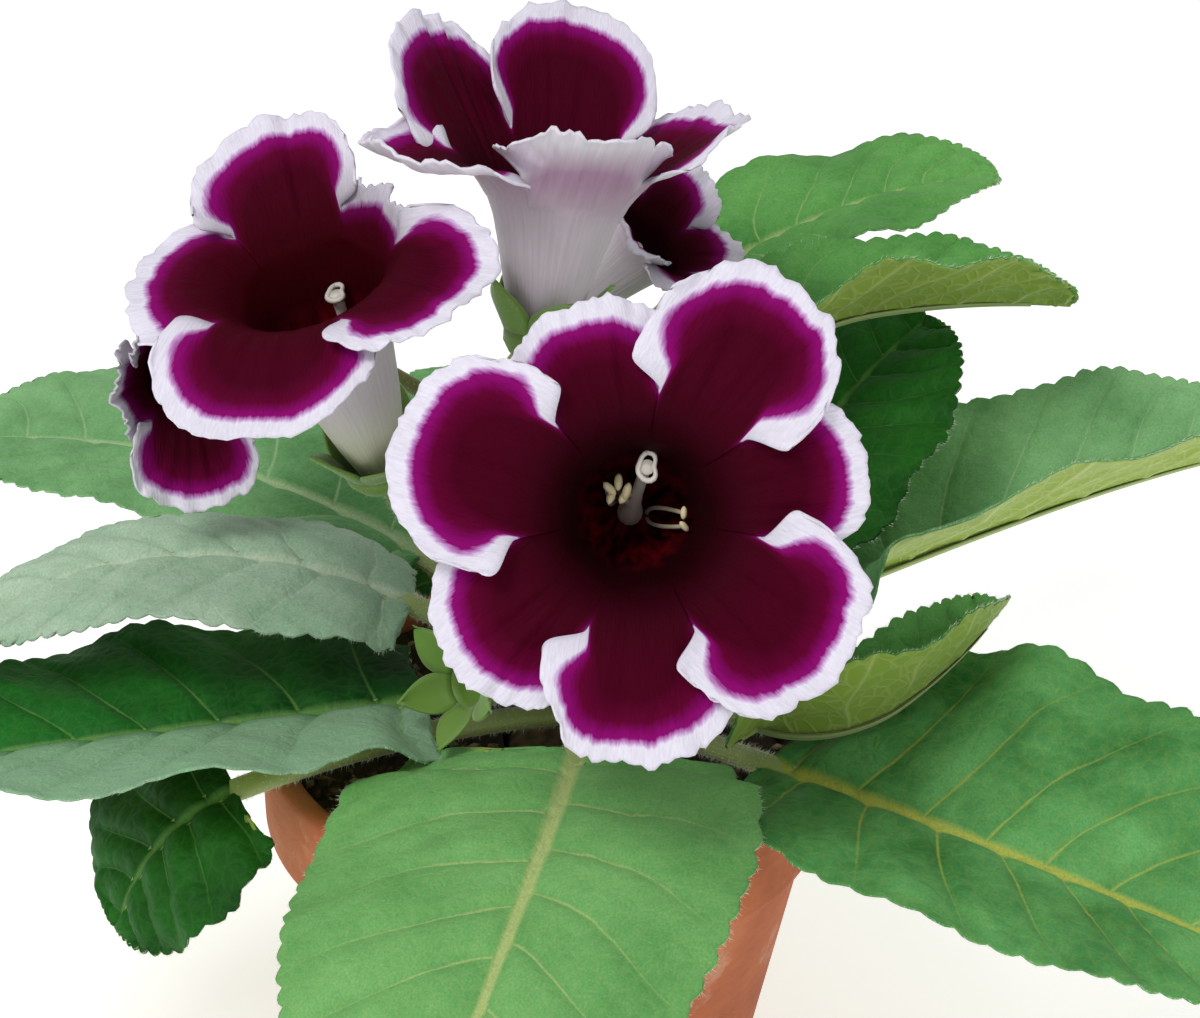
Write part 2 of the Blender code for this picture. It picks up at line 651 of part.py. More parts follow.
def lathe(profile, sides, centre=(0.0, 0.0)):
    """A closed turned body, whose profile of (radius, z) runs from the axis at the bottom to the axis again."""
    angles = 2 * math.pi * np.arange(sides) / sides
    rings = [
        np.stack([centre[0] + r * np.cos(angles), centre[1] + r * np.sin(angles), np.full(sides, z)], axis=1)
        for r, z in profile[1:-1]
    ]
    points, faces = list(np.concatenate(rings)), skin(rings)
    first, last, top = len(points), len(points) + 1, (len(rings) - 1) * sides
    points += [np.array([*centre, profile[0][1]]), np.array([*centre, profile[-1][1]])]
    for k in range(sides):
        m = (k + 1) % sides
        faces += [(first, m, k), (last, top + k, top + m)]
    return np.array(points), faces


def stem_mesh(bloom):
    """A bloom's stem, ending in the cup that holds the corolla's foot and in its sepals."""
    form = BloomForm(bloom)
    foot = math.radians(bloom.foot)
    start = STEM_FEET * np.array([math.cos(foot), math.sin(foot), 0.0])
    start[2] = SOIL_TOP + CROWN_TOP + GAP
    hold = bloom.tube + 0.5 * PETAL + GAP
    seat = form.centre - form.axis * hold
    end = seat - form.axis * CUP_FOOT
    span = np.linalg.norm(end - start)
    first = start + span * bloom.pull[0] * np.array([0.0, 0.0, 1.0])
    last = end - span * bloom.pull[1] * form.axis
    at, tangents = bezier(start, first, last, end, STEM_ROWS)
    sides = 2 * SEPALS
    rings = rings_along(at, tangents, np.full(STEM_ROWS, STEM_RADIUS), sides, form.right)
    points, faces = list(np.concatenate(rings)), skin(rings)
    hub = len(points)
    points.append(at[0])
    faces += [(hub, (k + 1) % sides, k) for k in range(sides)]
    inner_radius = CUP_SHARE * bloom.ring + 0.5 * PETAL + GAP

    def ring(radius, along):
        base = len(points)
        for k in range(sides):
            angle = 2 * math.pi * k / sides
            side = math.cos(angle) * form.right + math.sin(angle) * form.up
            points.append(seat + form.axis * along + side * radius)
        return [base + k for k in range(sides)]

    outer = [[(STEM_ROWS - 1) * sides + k for k in range(sides)]]
    outer += [ring(inner_radius * 0.75, -2.2), ring(inner_radius + SEPAL, 0.4)]
    outer.append(ring(inner_radius + SEPAL, CUP_RIM))
    floor = len(points)
    points.append(seat)
    inner = [ring(inner_radius, 0.0), ring(inner_radius, CUP_RIM)]
    for rows, flip in ((outer, False), (inner, True)):
        for low, high in zip(rows[:-1], rows[1:]):
            for k in range(sides):
                m = (k + 1) % sides
                two = [(low[k], low[m], high[m]), (low[k], high[m], high[k])]
                faces += [f[::-1] for f in two] if flip else two
    faces += [(floor, inner[0][k], inner[0][(k + 1) % sides]) for k in range(sides)]

    length, lean = bloom.sepal
    for sepal in range(SEPALS):
        middle = 2 * sepal
        cols = [(middle - 1) % sides, middle, (middle + 1) % sides]
        low = [(outer[-1][k], inner[-1][k]) for k in cols]
        for share, width in ((0.5, 0.8), (1.0, None)):
            along = share * length * math.cos(math.radians(lean))
            out = share * length * math.sin(math.radians(lean))
            high = []
            for offset in (-1, 0, 1) if width else (0,):
                angle = 2 * math.pi * (middle + 0.9 * (width or 0) * offset) / sides
                side = math.cos(angle) * form.right + math.sin(angle) * form.up
                pair = []
                for radius in (inner_radius + SEPAL, inner_radius):
                    points.append(seat + form.axis * (CUP_RIM + along) + side * (radius + out))
                    pair.append(len(points) - 1)
                high.append(tuple(pair))
            for which in (0, 1):
                if width:
                    for c in range(2):
                        a, b, d, e = low[c][which], low[c + 1][which], high[c + 1][which], high[c][which]
                        two = [(a, b, d), (a, d, e)] if c == 0 else [(a, b, e), (b, d, e)]
                        faces += [f[::-1] for f in two] if which else two
                else:
                    two = [(low[c][which], low[c + 1][which], high[0][which]) for c in range(2)]
                    faces += [f[::-1] for f in two] if which else two
            left = (low[0], high[0])
            right = (high[-1], low[-1])
            for (a, b), (c, d) in (left, right):
                faces += [(a, c, b), (c, d, b)]
            low = high
    return np.array(points), faces


def pistil_mesh(bloom):
    """Ovary, style and stigma standing on the corolla's floor."""
    form = BloomForm(bloom)
    foot = form.centre - form.axis * (bloom.tube - 0.5 * PETAL - GAP)
    lean = 0.75 * bloom.ring - 2.2
    top = form.centre - form.axis * 0.18 * bloom.tube + form.up * lean + form.right * 0.2 * lean
    at, tangents = bezier(foot, foot + form.axis * 12, top - form.axis * 14, top, 8)
    radii = np.array(PISTIL_RADII) * bloom.ring
    return tube_mesh(at, tangents, radii, len(radii), form.right)


def stamen_mesh(bloom, angle, reach, depth, head):
    """A bundle of filaments from the corolla's floor to its anthers. The angle is round the axis."""
    form = BloomForm(bloom)
    side = math.cos(math.radians(angle)) * form.right + math.sin(math.radians(angle)) * form.up
    foot = form.centre - form.axis * (bloom.tube - 0.5 * PETAL - GAP) + side * 3.6
    top = form.centre - form.axis * depth + side * reach
    at, tangents = bezier(foot, foot + form.axis * 8, top - form.axis * 6 - side * 2, top, 8)
    radii = np.array([FILAMENT] * 6 + [head, 0.8 * head])
    return tube_mesh(at, tangents, radii, len(radii), form.right)


def pot_mesh():
    """The clay pot with its rim band and its floor."""
    slope = (POT_RIM_RADIUS - POT_RIM_STEP - POT_FOOT_RADIUS) / (POT_HEIGHT - POT_RIM_BAND)
    low_rim = POT_HEIGHT - POT_RIM_BAND
    inside_top = POT_RIM_RADIUS - POT_WALL - POT_LIP
    profile = (
        (0.0, 0.0),
        (POT_FOOT_RADIUS - 1.5, 0.0),
        (POT_FOOT_RADIUS, 1.5),
        (POT_FOOT_RADIUS + slope * low_rim, low_rim),
        (POT_RIM_RADIUS - 1.0, low_rim),
        (POT_RIM_RADIUS, low_rim + 1.5),
        (POT_RIM_RADIUS, POT_HEIGHT - POT_BEVEL),
        (POT_RIM_RADIUS - POT_BEVEL, POT_HEIGHT),
        (inside_top + POT_BEVEL, POT_HEIGHT),
        (inside_top, POT_HEIGHT - POT_BEVEL),
        (POT_FOOT_RADIUS + slope * POT_FLOOR - POT_WALL, POT_FLOOR),
        (0.0, POT_FLOOR),
    )
    return lathe(profile, POT_SIDES)


def drill(obj, radius, circle, count, depth):
    """Cuts upright round holes, evenly spaced on a circle, through the floor of an object."""
    for k in range(count):
        angle = 2 * math.pi * (k + 0.5) / count
        centre = (circle * math.cos(angle), circle * math.sin(angle))
        profile = ((0.0, -5.0), (radius, -5.0), (radius, depth + 5.0), (0.0, depth + 5.0))
        cutter = build("drill", lathe(profile, 16, centre), obj.data.materials[0], (0.0, 0.0, 0.0))
        cut = obj.modifiers.new("hole", "BOOLEAN")
        cut.operation, cut.solver, cut.object = "DIFFERENCE", "EXACT", cutter
        bpy.context.view_layer.update()
        graph = bpy.context.evaluated_depsgraph_get()
        drilled = bpy.data.meshes.new_from_object(obj.evaluated_get(graph))
        obj.modifiers.clear()
        obj.data = drilled
        bpy.data.objects.remove(cutter, do_unlink=True)


def pot_inside(z):
    """Radius of the pot's inner wall at height z."""
    slope = (POT_RIM_RADIUS - POT_RIM_STEP - POT_FOOT_RADIUS) / (POT_HEIGHT - POT_RIM_BAND)
    low = POT_FOOT_RADIUS + slope * POT_FLOOR - POT_WALL
    high = POT_RIM_RADIUS - POT_WALL - POT_LIP
    return low + (high - low) * (z - POT_FLOOR) / (POT_HEIGHT - POT_BEVEL - POT_FLOOR)


def soil_mesh():
    """The filling of the pot, rough on top, with a pocket for the tuber."""
    sides, rng = POT_SIDES, np.random.default_rng(SOIL_SEED)
    angles = 2 * math.pi * np.arange(sides) / sides
    rings = []

    def flat_ring(radius, z, centre):
        x, y = centre + radius * np.cos(angles), radius * np.sin(angles)
        rings.append(np.stack([x, y, z + 0 * angles], axis=1))

    floor = POT_FLOOR + GAP
    flat_ring(pot_inside(floor) - GAP - 0.3, floor, 0.0)
    outer = pot_inside(SOIL_EDGE) - GAP - 0.3
    flat_ring(outer, SOIL_EDGE, 0.0)
    hole = TUBER[3][0] + GAP
    for share in (0.8, 0.6, 0.4, 0.2, 0.0):
        radius = hole + share * (outer - hole)
        bump = rng.uniform(-SOIL_CRUMB, SOIL_CRUMB, sides) * (1.0 if share > 0 else 0.3)
        z = SOIL_MIDDLE - (SOIL_MIDDLE - SOIL_EDGE) * share + bump
        flat_ring(radius, z, CROWN_X * (1.0 - share))
    for radius, z in TUBER[3:0:-1]:
        flat_ring(radius + GAP, SOIL_TOP + z - GAP, CROWN_X)
    points, faces = list(np.concatenate(rings)), skin(rings)
    first, last, top = len(points), len(points) + 1, (len(rings) - 1) * sides
    points += [np.array([0.0, 0.0, floor]), np.array([CROWN_X, 0.0, SOIL_TOP + TUBER[0][1] - GAP])]
    for k in range(sides):
        m = (k + 1) % sides
        faces += [(first, m, k), (last, top + k, top + m)]
    return np.array(points), faces


def crown_mesh():
    """The tuber and the short stem that carries leaves and blooms."""
    profile = [(r, SOIL_TOP + z) for r, z in TUBER]
    profile += [(CROWN_RADIUS, SOIL_TOP + 0.5), (CROWN_RADIUS, SOIL_TOP + CROWN_TOP - 1.0)]
    profile += [(CROWN_RADIUS - 1.0, SOIL_TOP + CROWN_TOP), (0.0, SOIL_TOP + CROWN_TOP)]
    return lathe(profile, CROWN_SIDES)


def material(name, colour, roughness):
    """A plain Principled material."""
    made = bpy.data.materials.new(name)
    made.use_nodes = True
    shader = made.node_tree.nodes["Principled BSDF"]
    shader.inputs["Base Color"].default_value = (*colour, 1.0)
    shader.inputs["Roughness"].default_value = roughness
    return made


def build(name, shape, finish, offset=(CROWN_X, 0.0, 0.0)):
    """A mesh object from points in mm."""
    points, faces = shape
    mesh = bpy.data.meshes.new(name)
    mesh.from_pydata([tuple((p + np.array(offset)) * MM) for p in points], [], faces)
    mesh.materials.append(finish)
    obj = bpy.data.objects.new(name, mesh)
    bpy.context.scene.collection.objects.link(obj)
    return obj


def clear_scene():
    """Removes the startup scene's objects."""
    for obj in list(bpy.data.objects):
        bpy.data.objects.remove(obj, do_unlink=True)


def main():
    """Builds the pot and the whole plant."""
    clear_scene()
    leaf_finish = material("leaf_velvet", LEAF_GREEN, 0.6)
    petal_finish = material("petal_velvet", PETAL_PURPLE, 0.5)
    stem_finish = material("hairy_stem", STEM_GREEN, 0.6)
    cream_finish = material("waxy_cream", CREAM, 0.4)
    here = (0.0, 0.0, 0.0)
    pot = build("pot", pot_mesh(), material("fired_clay", CLAY, 0.85), here)
    drill(pot, DRAIN_RADIUS, DRAIN_CIRCLE, DRAIN_HOLES, POT_FLOOR)
    build("soil", soil_mesh(), material("potting_soil", SOIL_BROWN, 0.95), here)
    build("tuber_crown", crown_mesh(), material("tuber_skin", TUBER_BROWN, 0.8))
    for leaf in LEAVES:
        build(leaf.name, leaf_mesh(leaf), leaf_finish)
    for bloom in BLOOMS:
        build("corolla_" + bloom.name, corolla_mesh(bloom), petal_finish)
        build("stem_" + bloom.name, stem_mesh(bloom), stem_finish)
        build("pistil_" + bloom.name, pistil_mesh(bloom), cream_finish)
    for name, *place in STAMENS:
        build(name, stamen_mesh(BLOOMS[0], *place), cream_finish)
    build("stem_" + SPENT.name, stem_mesh(SPENT), stem_finish)


if __name__ == "__main__":
    main()
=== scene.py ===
"""Dresses a potted gloxinia: velvety scalloped leaves, two-coloured blooms, hairy stalks, soil and clay pot.

Sizes are in millimetres, measured from the plant's crown at the soil's surface, and turned to metres once.
"""

import logging
import math
from collections.abc import Callable
from dataclasses import dataclass, field
from enum import Enum
from functools import partial

import bpy
import numpy as np
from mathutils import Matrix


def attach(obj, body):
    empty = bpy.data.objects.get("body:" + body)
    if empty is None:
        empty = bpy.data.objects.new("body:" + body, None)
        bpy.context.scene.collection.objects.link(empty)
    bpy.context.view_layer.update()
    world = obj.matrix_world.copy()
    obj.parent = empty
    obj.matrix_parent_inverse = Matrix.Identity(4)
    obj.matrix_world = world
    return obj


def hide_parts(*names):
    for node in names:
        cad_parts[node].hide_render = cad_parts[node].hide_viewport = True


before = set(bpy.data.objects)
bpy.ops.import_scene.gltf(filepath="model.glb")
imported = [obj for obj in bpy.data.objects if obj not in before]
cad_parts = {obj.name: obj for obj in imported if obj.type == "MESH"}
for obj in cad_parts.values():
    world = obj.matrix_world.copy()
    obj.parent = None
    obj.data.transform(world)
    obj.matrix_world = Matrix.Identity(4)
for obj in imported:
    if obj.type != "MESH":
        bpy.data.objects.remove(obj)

LOG = logging.getLogger("gloxinia")
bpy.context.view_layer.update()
Array = np.ndarray
Inputs = dict[str | int, object]
Adder = Callable[..., bpy.types.Node]
MM = 0.001
BODY = "root"

# The frame that the solids stand in, mm
CROWN = np.array([12.0, 0.0, 104.0])
CROWN_RADIUS = 8.5
CROWN_TOP = 20.0


def linear(hex_colour: str) -> tuple[float, float, float, float]:
    """Turns an sRGB hex colour to linear.

    Args:
        hex_colour: six hex digits after a hash.

    Returns:
        Red, green, blue, and a fourth value of 1.
    """
    parts = [int(hex_colour[k : k + 2], 16) / 255 for k in (1, 3, 5)]
    values = [p / 12.92 if p <= 0.04045 else ((p + 0.055) / 1.055) ** 2.4 for p in parts]
    return (*values, 1.0)


def scale(spot: float) -> float:
    """The texture scale that makes one spot as wide as the given millimetres."""
    return 1 / (spot * MM)


def feed(tree: bpy.types.NodeTree, node: bpy.types.Node, inputs: Inputs) -> None:
    """Sets a node's inputs: a plain value goes on the input's own socket.

    Args:
        tree: the material's node tree.
        node: the node.
        inputs: input name or index to a number, a vector, a hex colour, the socket that feeds it, or the node
            whose first output does. By index, a Map Range has its value first, then the range and the new
            range, and a Mix has its factor first, then both colours.
    """
    for key, value in inputs.items():
        source = value.outputs[0] if isinstance(value, bpy.types.Node) else value
        if isinstance(source, bpy.types.NodeSocket):
            tree.links.new(source, node.inputs[key])
        else:
            node.inputs[key].default_value = linear(source) if isinstance(source, str) else source


def add_node(
    tree: bpy.types.NodeTree, kind: str, inputs: Inputs | None = None, **settings: object
) -> bpy.types.Node:
    """Adds one node with its settings and links.

    Args:
        tree: the material's node tree.
        kind: the node's type name, without the "ShaderNode" that all of them start with.
        inputs: what goes into it, as for feed().
        settings: properties of the node.

    Returns:
        The new node.
    """
    node = tree.nodes.new("ShaderNode" + kind)
    for name, value in settings.items():
        setattr(node, name, value)
    feed(tree, node, inputs or {})
    return node


def set_ramp(node: bpy.types.Node, stops: tuple[tuple[float, str], ...]) -> None:
    """Gives a colour ramp its stops.

    Args:
        node: the colour ramp.
        stops: place and hex colour of each stop, in order.
    """
    ramp = node.color_ramp
    while len(ramp.elements) < len(stops):
        ramp.elements.new(1.0)
    for element, (place, colour) in zip(ramp.elements, stops):
        element.position, element.color = place, linear(colour)


def linked(name: str, data: bpy.types.ID) -> bpy.types.Object:
    """A new object in the scene.

    Args:
        name: the object's name.
        data: its mesh, light or camera.

    Returns:
        The object.
    """
    obj = bpy.data.objects.new(name, data)
    bpy.context.scene.collection.objects.link(obj)
    return obj


def thicken(sheet: bpy.types.Object, thickness: float, back: int = 0) -> None:
    """Gives a sheet its thickness, half of it to each side.

    Args:
        sheet: the sheet.
        thickness: in mm.
        back: how many finishes further on the list the other side's is.
    """
    solid = sheet.modifiers.new("thickness", "SOLIDIFY")
    solid.thickness, solid.offset, solid.material_offset = thickness * MM, 0.0, back


def stand_in(pieces: list[tuple[bpy.types.Object, str, str]]) -> list[bpy.types.Object]:
    """Puts pieces in place of their solids.

    Args:
        pieces: each piece, its solid's node and a material slot name, which is not used.

    Returns:
        The pieces.
    """
    for piece, node, slot in pieces:
        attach(piece, BODY)
        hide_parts(node)
    return [piece for piece, _, _ in pieces]


def circle(count: int) -> Array:
    """Evenly spread angles of one turn, in radians."""
    return 2 * math.pi * np.arange(count) / count


def smooth(t: Array) -> Array:
    """0 to 1 with a soft start and end."""
    t = np.clip(t, 0.0, 1.0)
    return t * t * (3.0 - 2.0 * t)


def unit(v: Array) -> Array:
    """Each vector of an array at length 1."""
    return v / (np.linalg.norm(v, axis=-1, keepdims=True) + 1e-12)


def ripple_noise(x: Array, seed: int, octaves: int = 4) -> Array:
    """A smooth random line.

    Args:
        x: places along the line, about one bump to each unit.
        seed: picks the line.
        octaves: how many finer waves are added.

    Returns:
        Values from about -1 to 1.
    """
    rng = np.random.default_rng(seed)
    total = np.zeros_like(x, dtype=float)
    for k in range(octaves):
        for _ in range(3):
            rate, phase = rng.uniform(0.6, 1.4) * 2**k, rng.uniform(0, 2 * math.pi)
            total = total + np.sin(2 * math.pi * rate * x * 0.5 + phase) / 3 / 1.7**k
    return total


@dataclass
class Shape:
    """A mesh in the making: points in mm, faces, and named values for each point."""

    points: Array
    faces: list
    values: dict[str, Array] = field(default_factory=dict)

    def joined(self, other: "Shape") -> "Shape":
        """This shape and another as one.

        Args:
            other: the shape to add.

        Returns:
            The two together. A value that one of them lacks is zero there.
        """
        shift = len(self.points)
        faces = list(self.faces) + [tuple(k + shift for k in f) for f in other.faces]
        values = {}
        for name in {*self.values, *other.values}:
            a = self.values.get(name, np.zeros((len(self.points), 3)))
            b = other.values.get(name, np.zeros((len(other.points), 3)))
            values[name] = np.vstack([a, b])
        return Shape(np.vstack([self.points, other.points]), faces, values)

    def made(self, name: str, finishes: list[bpy.types.Material], origin: Array = CROWN) -> bpy.types.Object:
        """Builds the object.

        Args:
            name: the piece's name.
            finishes: its materials, in slot order.
            origin: what is added to every point, mm.

        Returns:
            The new object, linked to the scene.
        """
        mesh = bpy.data.meshes.new(name)
        mesh.from_pydata(((self.points + origin) * MM).tolist(), [], self.faces)
        for finish in finishes:
            mesh.materials.append(finish)
        for key, value in self.values.items():
            layer = mesh.attributes.new(key, "FLOAT_VECTOR", "POINT")
            layer.data.foreach_set("vector", np.ascontiguousarray(value, dtype=np.float32).ravel())
        mesh.polygons.foreach_set("use_smooth", np.ones(len(mesh.polygons), dtype=bool))
        mesh.update()
        return linked(name, mesh)


def quads(rows: int, columns: int, closed: bool = False, base: int = 0) -> list[tuple[int, ...]]:
    """Faces of a grid of points.

    Args:
        rows: points along the first direction.
        columns: points along the second.
        closed: joins the last column to the first.
        base: index of the first point.

    Returns:
        Four-sided faces that look along first cross second.
    """
    faces = []
    for i in range(rows - 1):
        for k in range(columns if closed else columns - 1):
            m = (k + 1) % columns
            a, b = base + i * columns, base + (i + 1) * columns
            faces.append((a + k, b + k, b + m, a + m))
    return faces


def swept(at: Array, right: Array, up: Array, profile: Array) -> Shape:
    """A tube through rings that share one profile, closed at both ends.

    Args:
        at: centres, one to a ring.
        right: each ring's sideways direction.
        up: each ring's upward direction.
        profile: ring by point by (sideways, upward) in mm, anticlockwise seen from the far end.

    Returns:
        The closed tube, with a value "along" that holds each point's ring share and angle share.
    """
    rings, sides = profile.shape[:2]
    points = at[:, None] + profile[..., :1] * right[:, None] + profile[..., 1:] * up[:, None]
    along = np.stack(
        np.broadcast_arrays(np.linspace(0, 1, rings)[:, None], np.arange(sides)[None] / sides, 0.0), axis=-1
    )
    faces = [f[::-1] for f in quads(rings, sides, closed=True)]
    faces.append(tuple(range(sides))[::-1])
    faces.append(tuple((rings - 1) * sides + k for k in range(sides)))
    return Shape(points.reshape(-1, 3), faces, {"along": along.reshape(-1, 3).copy()})


def round_profile(radii: Array, sides: int) -> Array:
    """Circles of the given radii as a profile for swept()."""
    angles = circle(sides)
    return radii[:, None, None] * np.stack([np.cos(angles), np.sin(angles)], axis=-1)[None]


def carried(at: Array, first: Array) -> tuple[Array, Array]:
    """Directions across a curve, carried along it without twist.

    Args:
        at: the curve's points.
        first: roughly the sideways direction at its start.

    Returns:
        The sideways and the upward direction at each point.
    """
    run = unit(np.gradient(at, axis=0))
    right, up = np.zeros_like(at), np.zeros_like(at)
    side = first
    for k, tangent in enumerate(run):
        side = unit(side - side @ tangent * tangent)
        right[k], up[k] = side, np.cross(tangent, side)
    return right, up


def bezier(a: Array, b: Array, c: Array, d: Array, steps: int) -> Array:
    """Points of a cubic curve."""
    t = np.linspace(0.0, 1.0, steps)[:, None]
    return (1 - t) ** 3 * a + 3 * t * (1 - t) ** 2 * b + 3 * t**2 * (1 - t) * c + t**3 * d


def turned(profile: Array, sides: int, centre: tuple[float, float] = (0.0, 0.0)) -> Shape:
    """A turned body.

    Args:
        profile: radius and height of each ring, from the axis at the bottom, up the outside, to the axis.
        sides: points to a ring.
        centre: plan position of the axis.

    Returns:
        The body.
    """
    angles = circle(sides)
    inner = profile[1:-1]
    points = np.stack(
        [
            centre[0] + inner[:, :1] * np.cos(angles),
            centre[1] + inner[:, :1] * np.sin(angles),
            np.repeat(inner[:, 1:], sides, axis=1),
        ],
        axis=-1,
    ).reshape(-1, 3)
    faces = [f[::-1] for f in quads(len(inner), sides, closed=True)]
    top, first = (len(inner) - 1) * sides, len(points)
    points = np.vstack([points, [[*centre, profile[0][1]], [*centre, profile[-1][1]]]])
    for k in range(sides):
        m = (k + 1) % sides
        faces += [(first, m, k), (first + 1, top + k, top + m)]
    return Shape(points, faces)


@dataclass(frozen=True)
class Hairs:
    """Short white hairs, each a thin upright sliver. Lengths in mm."""

    length: float = 1.3
    width: float = 0.08  # twice the real width, so that single hairs show
    lean: float = 0.3  # spread of the directions
    rooted: float = 0.05  # how deep each starts under the surface

    def over(self, points: Array, normals: Array, seed: int) -> Shape:
        """Grows one hair at each point.

        Args:
            points: roots, mm.
            normals: direction out of the surface at each root.
            seed: picks the random lean and length.

        Returns:
            The hairs as one shape.
        """
        rng = np.random.default_rng(seed)
        n = len(points)
        direction = unit(normals + self.lean * rng.normal(0, 1, (n, 3)))
        side = unit(np.cross(direction, rng.normal(0, 1, (n, 3))))
        reach = self.length * rng.uniform(0.5, 1.15, (n, 1))
        root, half = points - self.rooted * unit(normals), side * self.width / 2
        corners = np.stack([root - half, root + half, root + direction * reach], axis=1)
        faces = [(3 * k, 3 * k + 1, 3 * k + 2) for k in range(n)]
        return Shape(corners.reshape(-1, 3), faces)


class Light(Enum):
    """How a leaf's green reads: its age and tone, with painted light and shade. Sunny is a painted lit copy
    and shaded a painted shaded copy, one copy has its left half paled by painted light, and frosted is paler
    partly for its own grey-green and partly as a painted sheen.
    """

    SUNNY = "sunny"
    DEEP = "deep"
    SHADED = "shaded"
    FRESH = "fresh"
    GREY = "grey"
    YOUNG = "young"
    FROSTED = "frosted"
    HALF_LIT = "half_lit"


@dataclass(frozen=True)
class Finish:
    """A surface as it was made, under its common name."""

    name: str

    def surface(self, add: Adder) -> Inputs:
        """What the shader gets.

        Args:
            add: adds a node to the material.

        Returns:
            Shader input to its value, or to the node that feeds it.
        """
        raise NotImplementedError

    def made(self) -> bpy.types.Material:
        """Builds the material.

        Returns:
            The material.
        """
        material = bpy.data.materials.new(self.name)
        material.use_nodes = True
        tree = material.node_tree
        feed(tree, tree.nodes["Principled BSDF"], self.surface(partial(add_node, tree)))
        return material


@dataclass(frozen=True)
class LeafVelvet(Finish):
    """Gloxinia leaf, upper side: soft green tissue quilted between sunk veins, under a coat of fine hairs."""

    blade: str
    # blade_dark: the green near the stalk, darkened as painted shade
    blade_dark: str
    vein: str
    sheen: float = 0.08
    half_lit: float = 0.0  # how much the left half of the blade is paled by painted light

    CELL = 3.4  # mesh of the net of finest veins, mm
    WARP, WANDER = 6.25, 6.0  # how far apart the net's bends are, and how far they go, mm
    MOTTLE = 22.2  # patches of older and younger green, mm
    NAP = 0.526  # tufts of the hairs, mm: real ones are 0.05 mm apart, too fine to show

    def surface(self, add: Adder) -> Inputs:
        """What the shader gets.

        Args:
            add: adds a node to the material.

        Returns:
            Shader input to its value, or to the node that feeds it.
        """
        vein = add("Attribute", attribute_name="vein").outputs["Vector"]
        flat = add("Attribute", attribute_name="flat").outputs["Vector"]
        phase, across, from_rib = add("SeparateXYZ", {0: vein}).outputs
        # Side veins run where the phase is a whole number, and thin out towards the margin.
        wrap = add("Math", {0: phase, 1: 0.5}, operation="PINGPONG")
        share = add("Math", {0: across}, operation="ABSOLUTE")
        thin = add("MapRange", {0: share, 1: 0.0, 2: 1.0, 3: 0.042, 4: 0.014})
        side = add("MapRange", {0: wrap, 1: 0.0, 2: thin, 3: 1.0, 4: 0.0})
        fade = add("MapRange", {0: share, 1: 0.3, 2: 0.95, 3: 0.8, 4: 0.1})
        side_line = add("Math", {0: side, 1: fade}, operation="MULTIPLY")
        rib = add("MapRange", {0: from_rib, 1: 0.5, 2: 1.25, 3: 1.0, 4: 0.0})
        lines = add("Math", {0: side_line, 1: rib}, operation="MAXIMUM")
        # Fine net between the side veins.
        warp = add("TexNoise", {"Vector": flat, "Scale": scale(self.WARP), "Detail": 2.0})
        bent = add("MixRGB", {0: self.WANDER * MM, 1: flat, 2: warp.outputs["Color"]}, blend_type="ADD")
        net = add("TexVoronoi", {"Vector": bent, "Scale": scale(self.CELL)}, feature="DISTANCE_TO_EDGE")
        net_line = add("MapRange", {0: net, 1: 0.0, 2: 0.16, 3: 1.0, 4: 0.0})
        mottle = add(
            "TexNoise", {"Vector": flat, "Scale": scale(self.MOTTLE), "Detail": 5.0, "Roughness": 0.6}
        )
        # The green is deepest near the stalk and pales towards the tip: painted shade where the blade runs in
        # under the blooms and the other leaves near the crown.
        paling = add("Math", {0: phase, 1: 0.045, 2: mottle}, operation="MULTIPLY_ADD")
        tone = add("MapRange", {0: paling, 1: 0.42, 2: 0.88})
        body = add("MixRGB", {0: tone, 1: self.blade_dark, 2: self.blade})
        net_tint = add("Math", {0: net_line, 1: 0.07}, operation="MULTIPLY")
        netted = add("MixRGB", {0: net_tint, 1: body, 2: self.vein})
        line_tint = add("Math", {0: lines, 1: 0.8}, operation="MULTIPLY")
        # Painted light: the left half of the blade is paled as if it faced the light.
        half_lit = add(
            "MapRange", {0: across, 1: -0.05, 2: 0.25, 3: 0.0, 4: self.half_lit},
            interpolation_type="SMOOTHSTEP",
        )
        paled = add("MixRGB", {0: half_lit, 1: netted, 2: "#a8d2aa"})
        colour = add("MixRGB", {0: line_tint, 1: paled, 2: self.vein})
        nap = add("TexNoise", {"Vector": flat, "Scale": scale(self.NAP), "Detail": 2.0})
        nap_tint = add("MapRange", {0: nap, 1: 0.3, 2: 0.7, 3: 0.86, 4: 1.12})
        napped = add("MixRGB", {0: 1.0, 1: colour, 2: nap_tint}, blend_type="MULTIPLY")
        pillow = add("MapRange", {0: net, 1: 0.0, 2: 0.42, 3: 0.0, 4: 1.0})
        relief = add("Math", {0: nap, 1: 0.35, 2: pillow}, operation="MULTIPLY_ADD")
        bump = add("Bump", {"Height": relief, "Distance": 0.6 * MM, "Strength": 0.35})
        return {
            "Base Color": napped, "Normal": bump, "Roughness": 0.6, "Specular IOR Level": 0.2,
            "Sheen Weight": self.sheen, "Sheen Roughness": 0.45, "Sheen Tint": "#e8f2e2", "IOR": 1.42,
        }


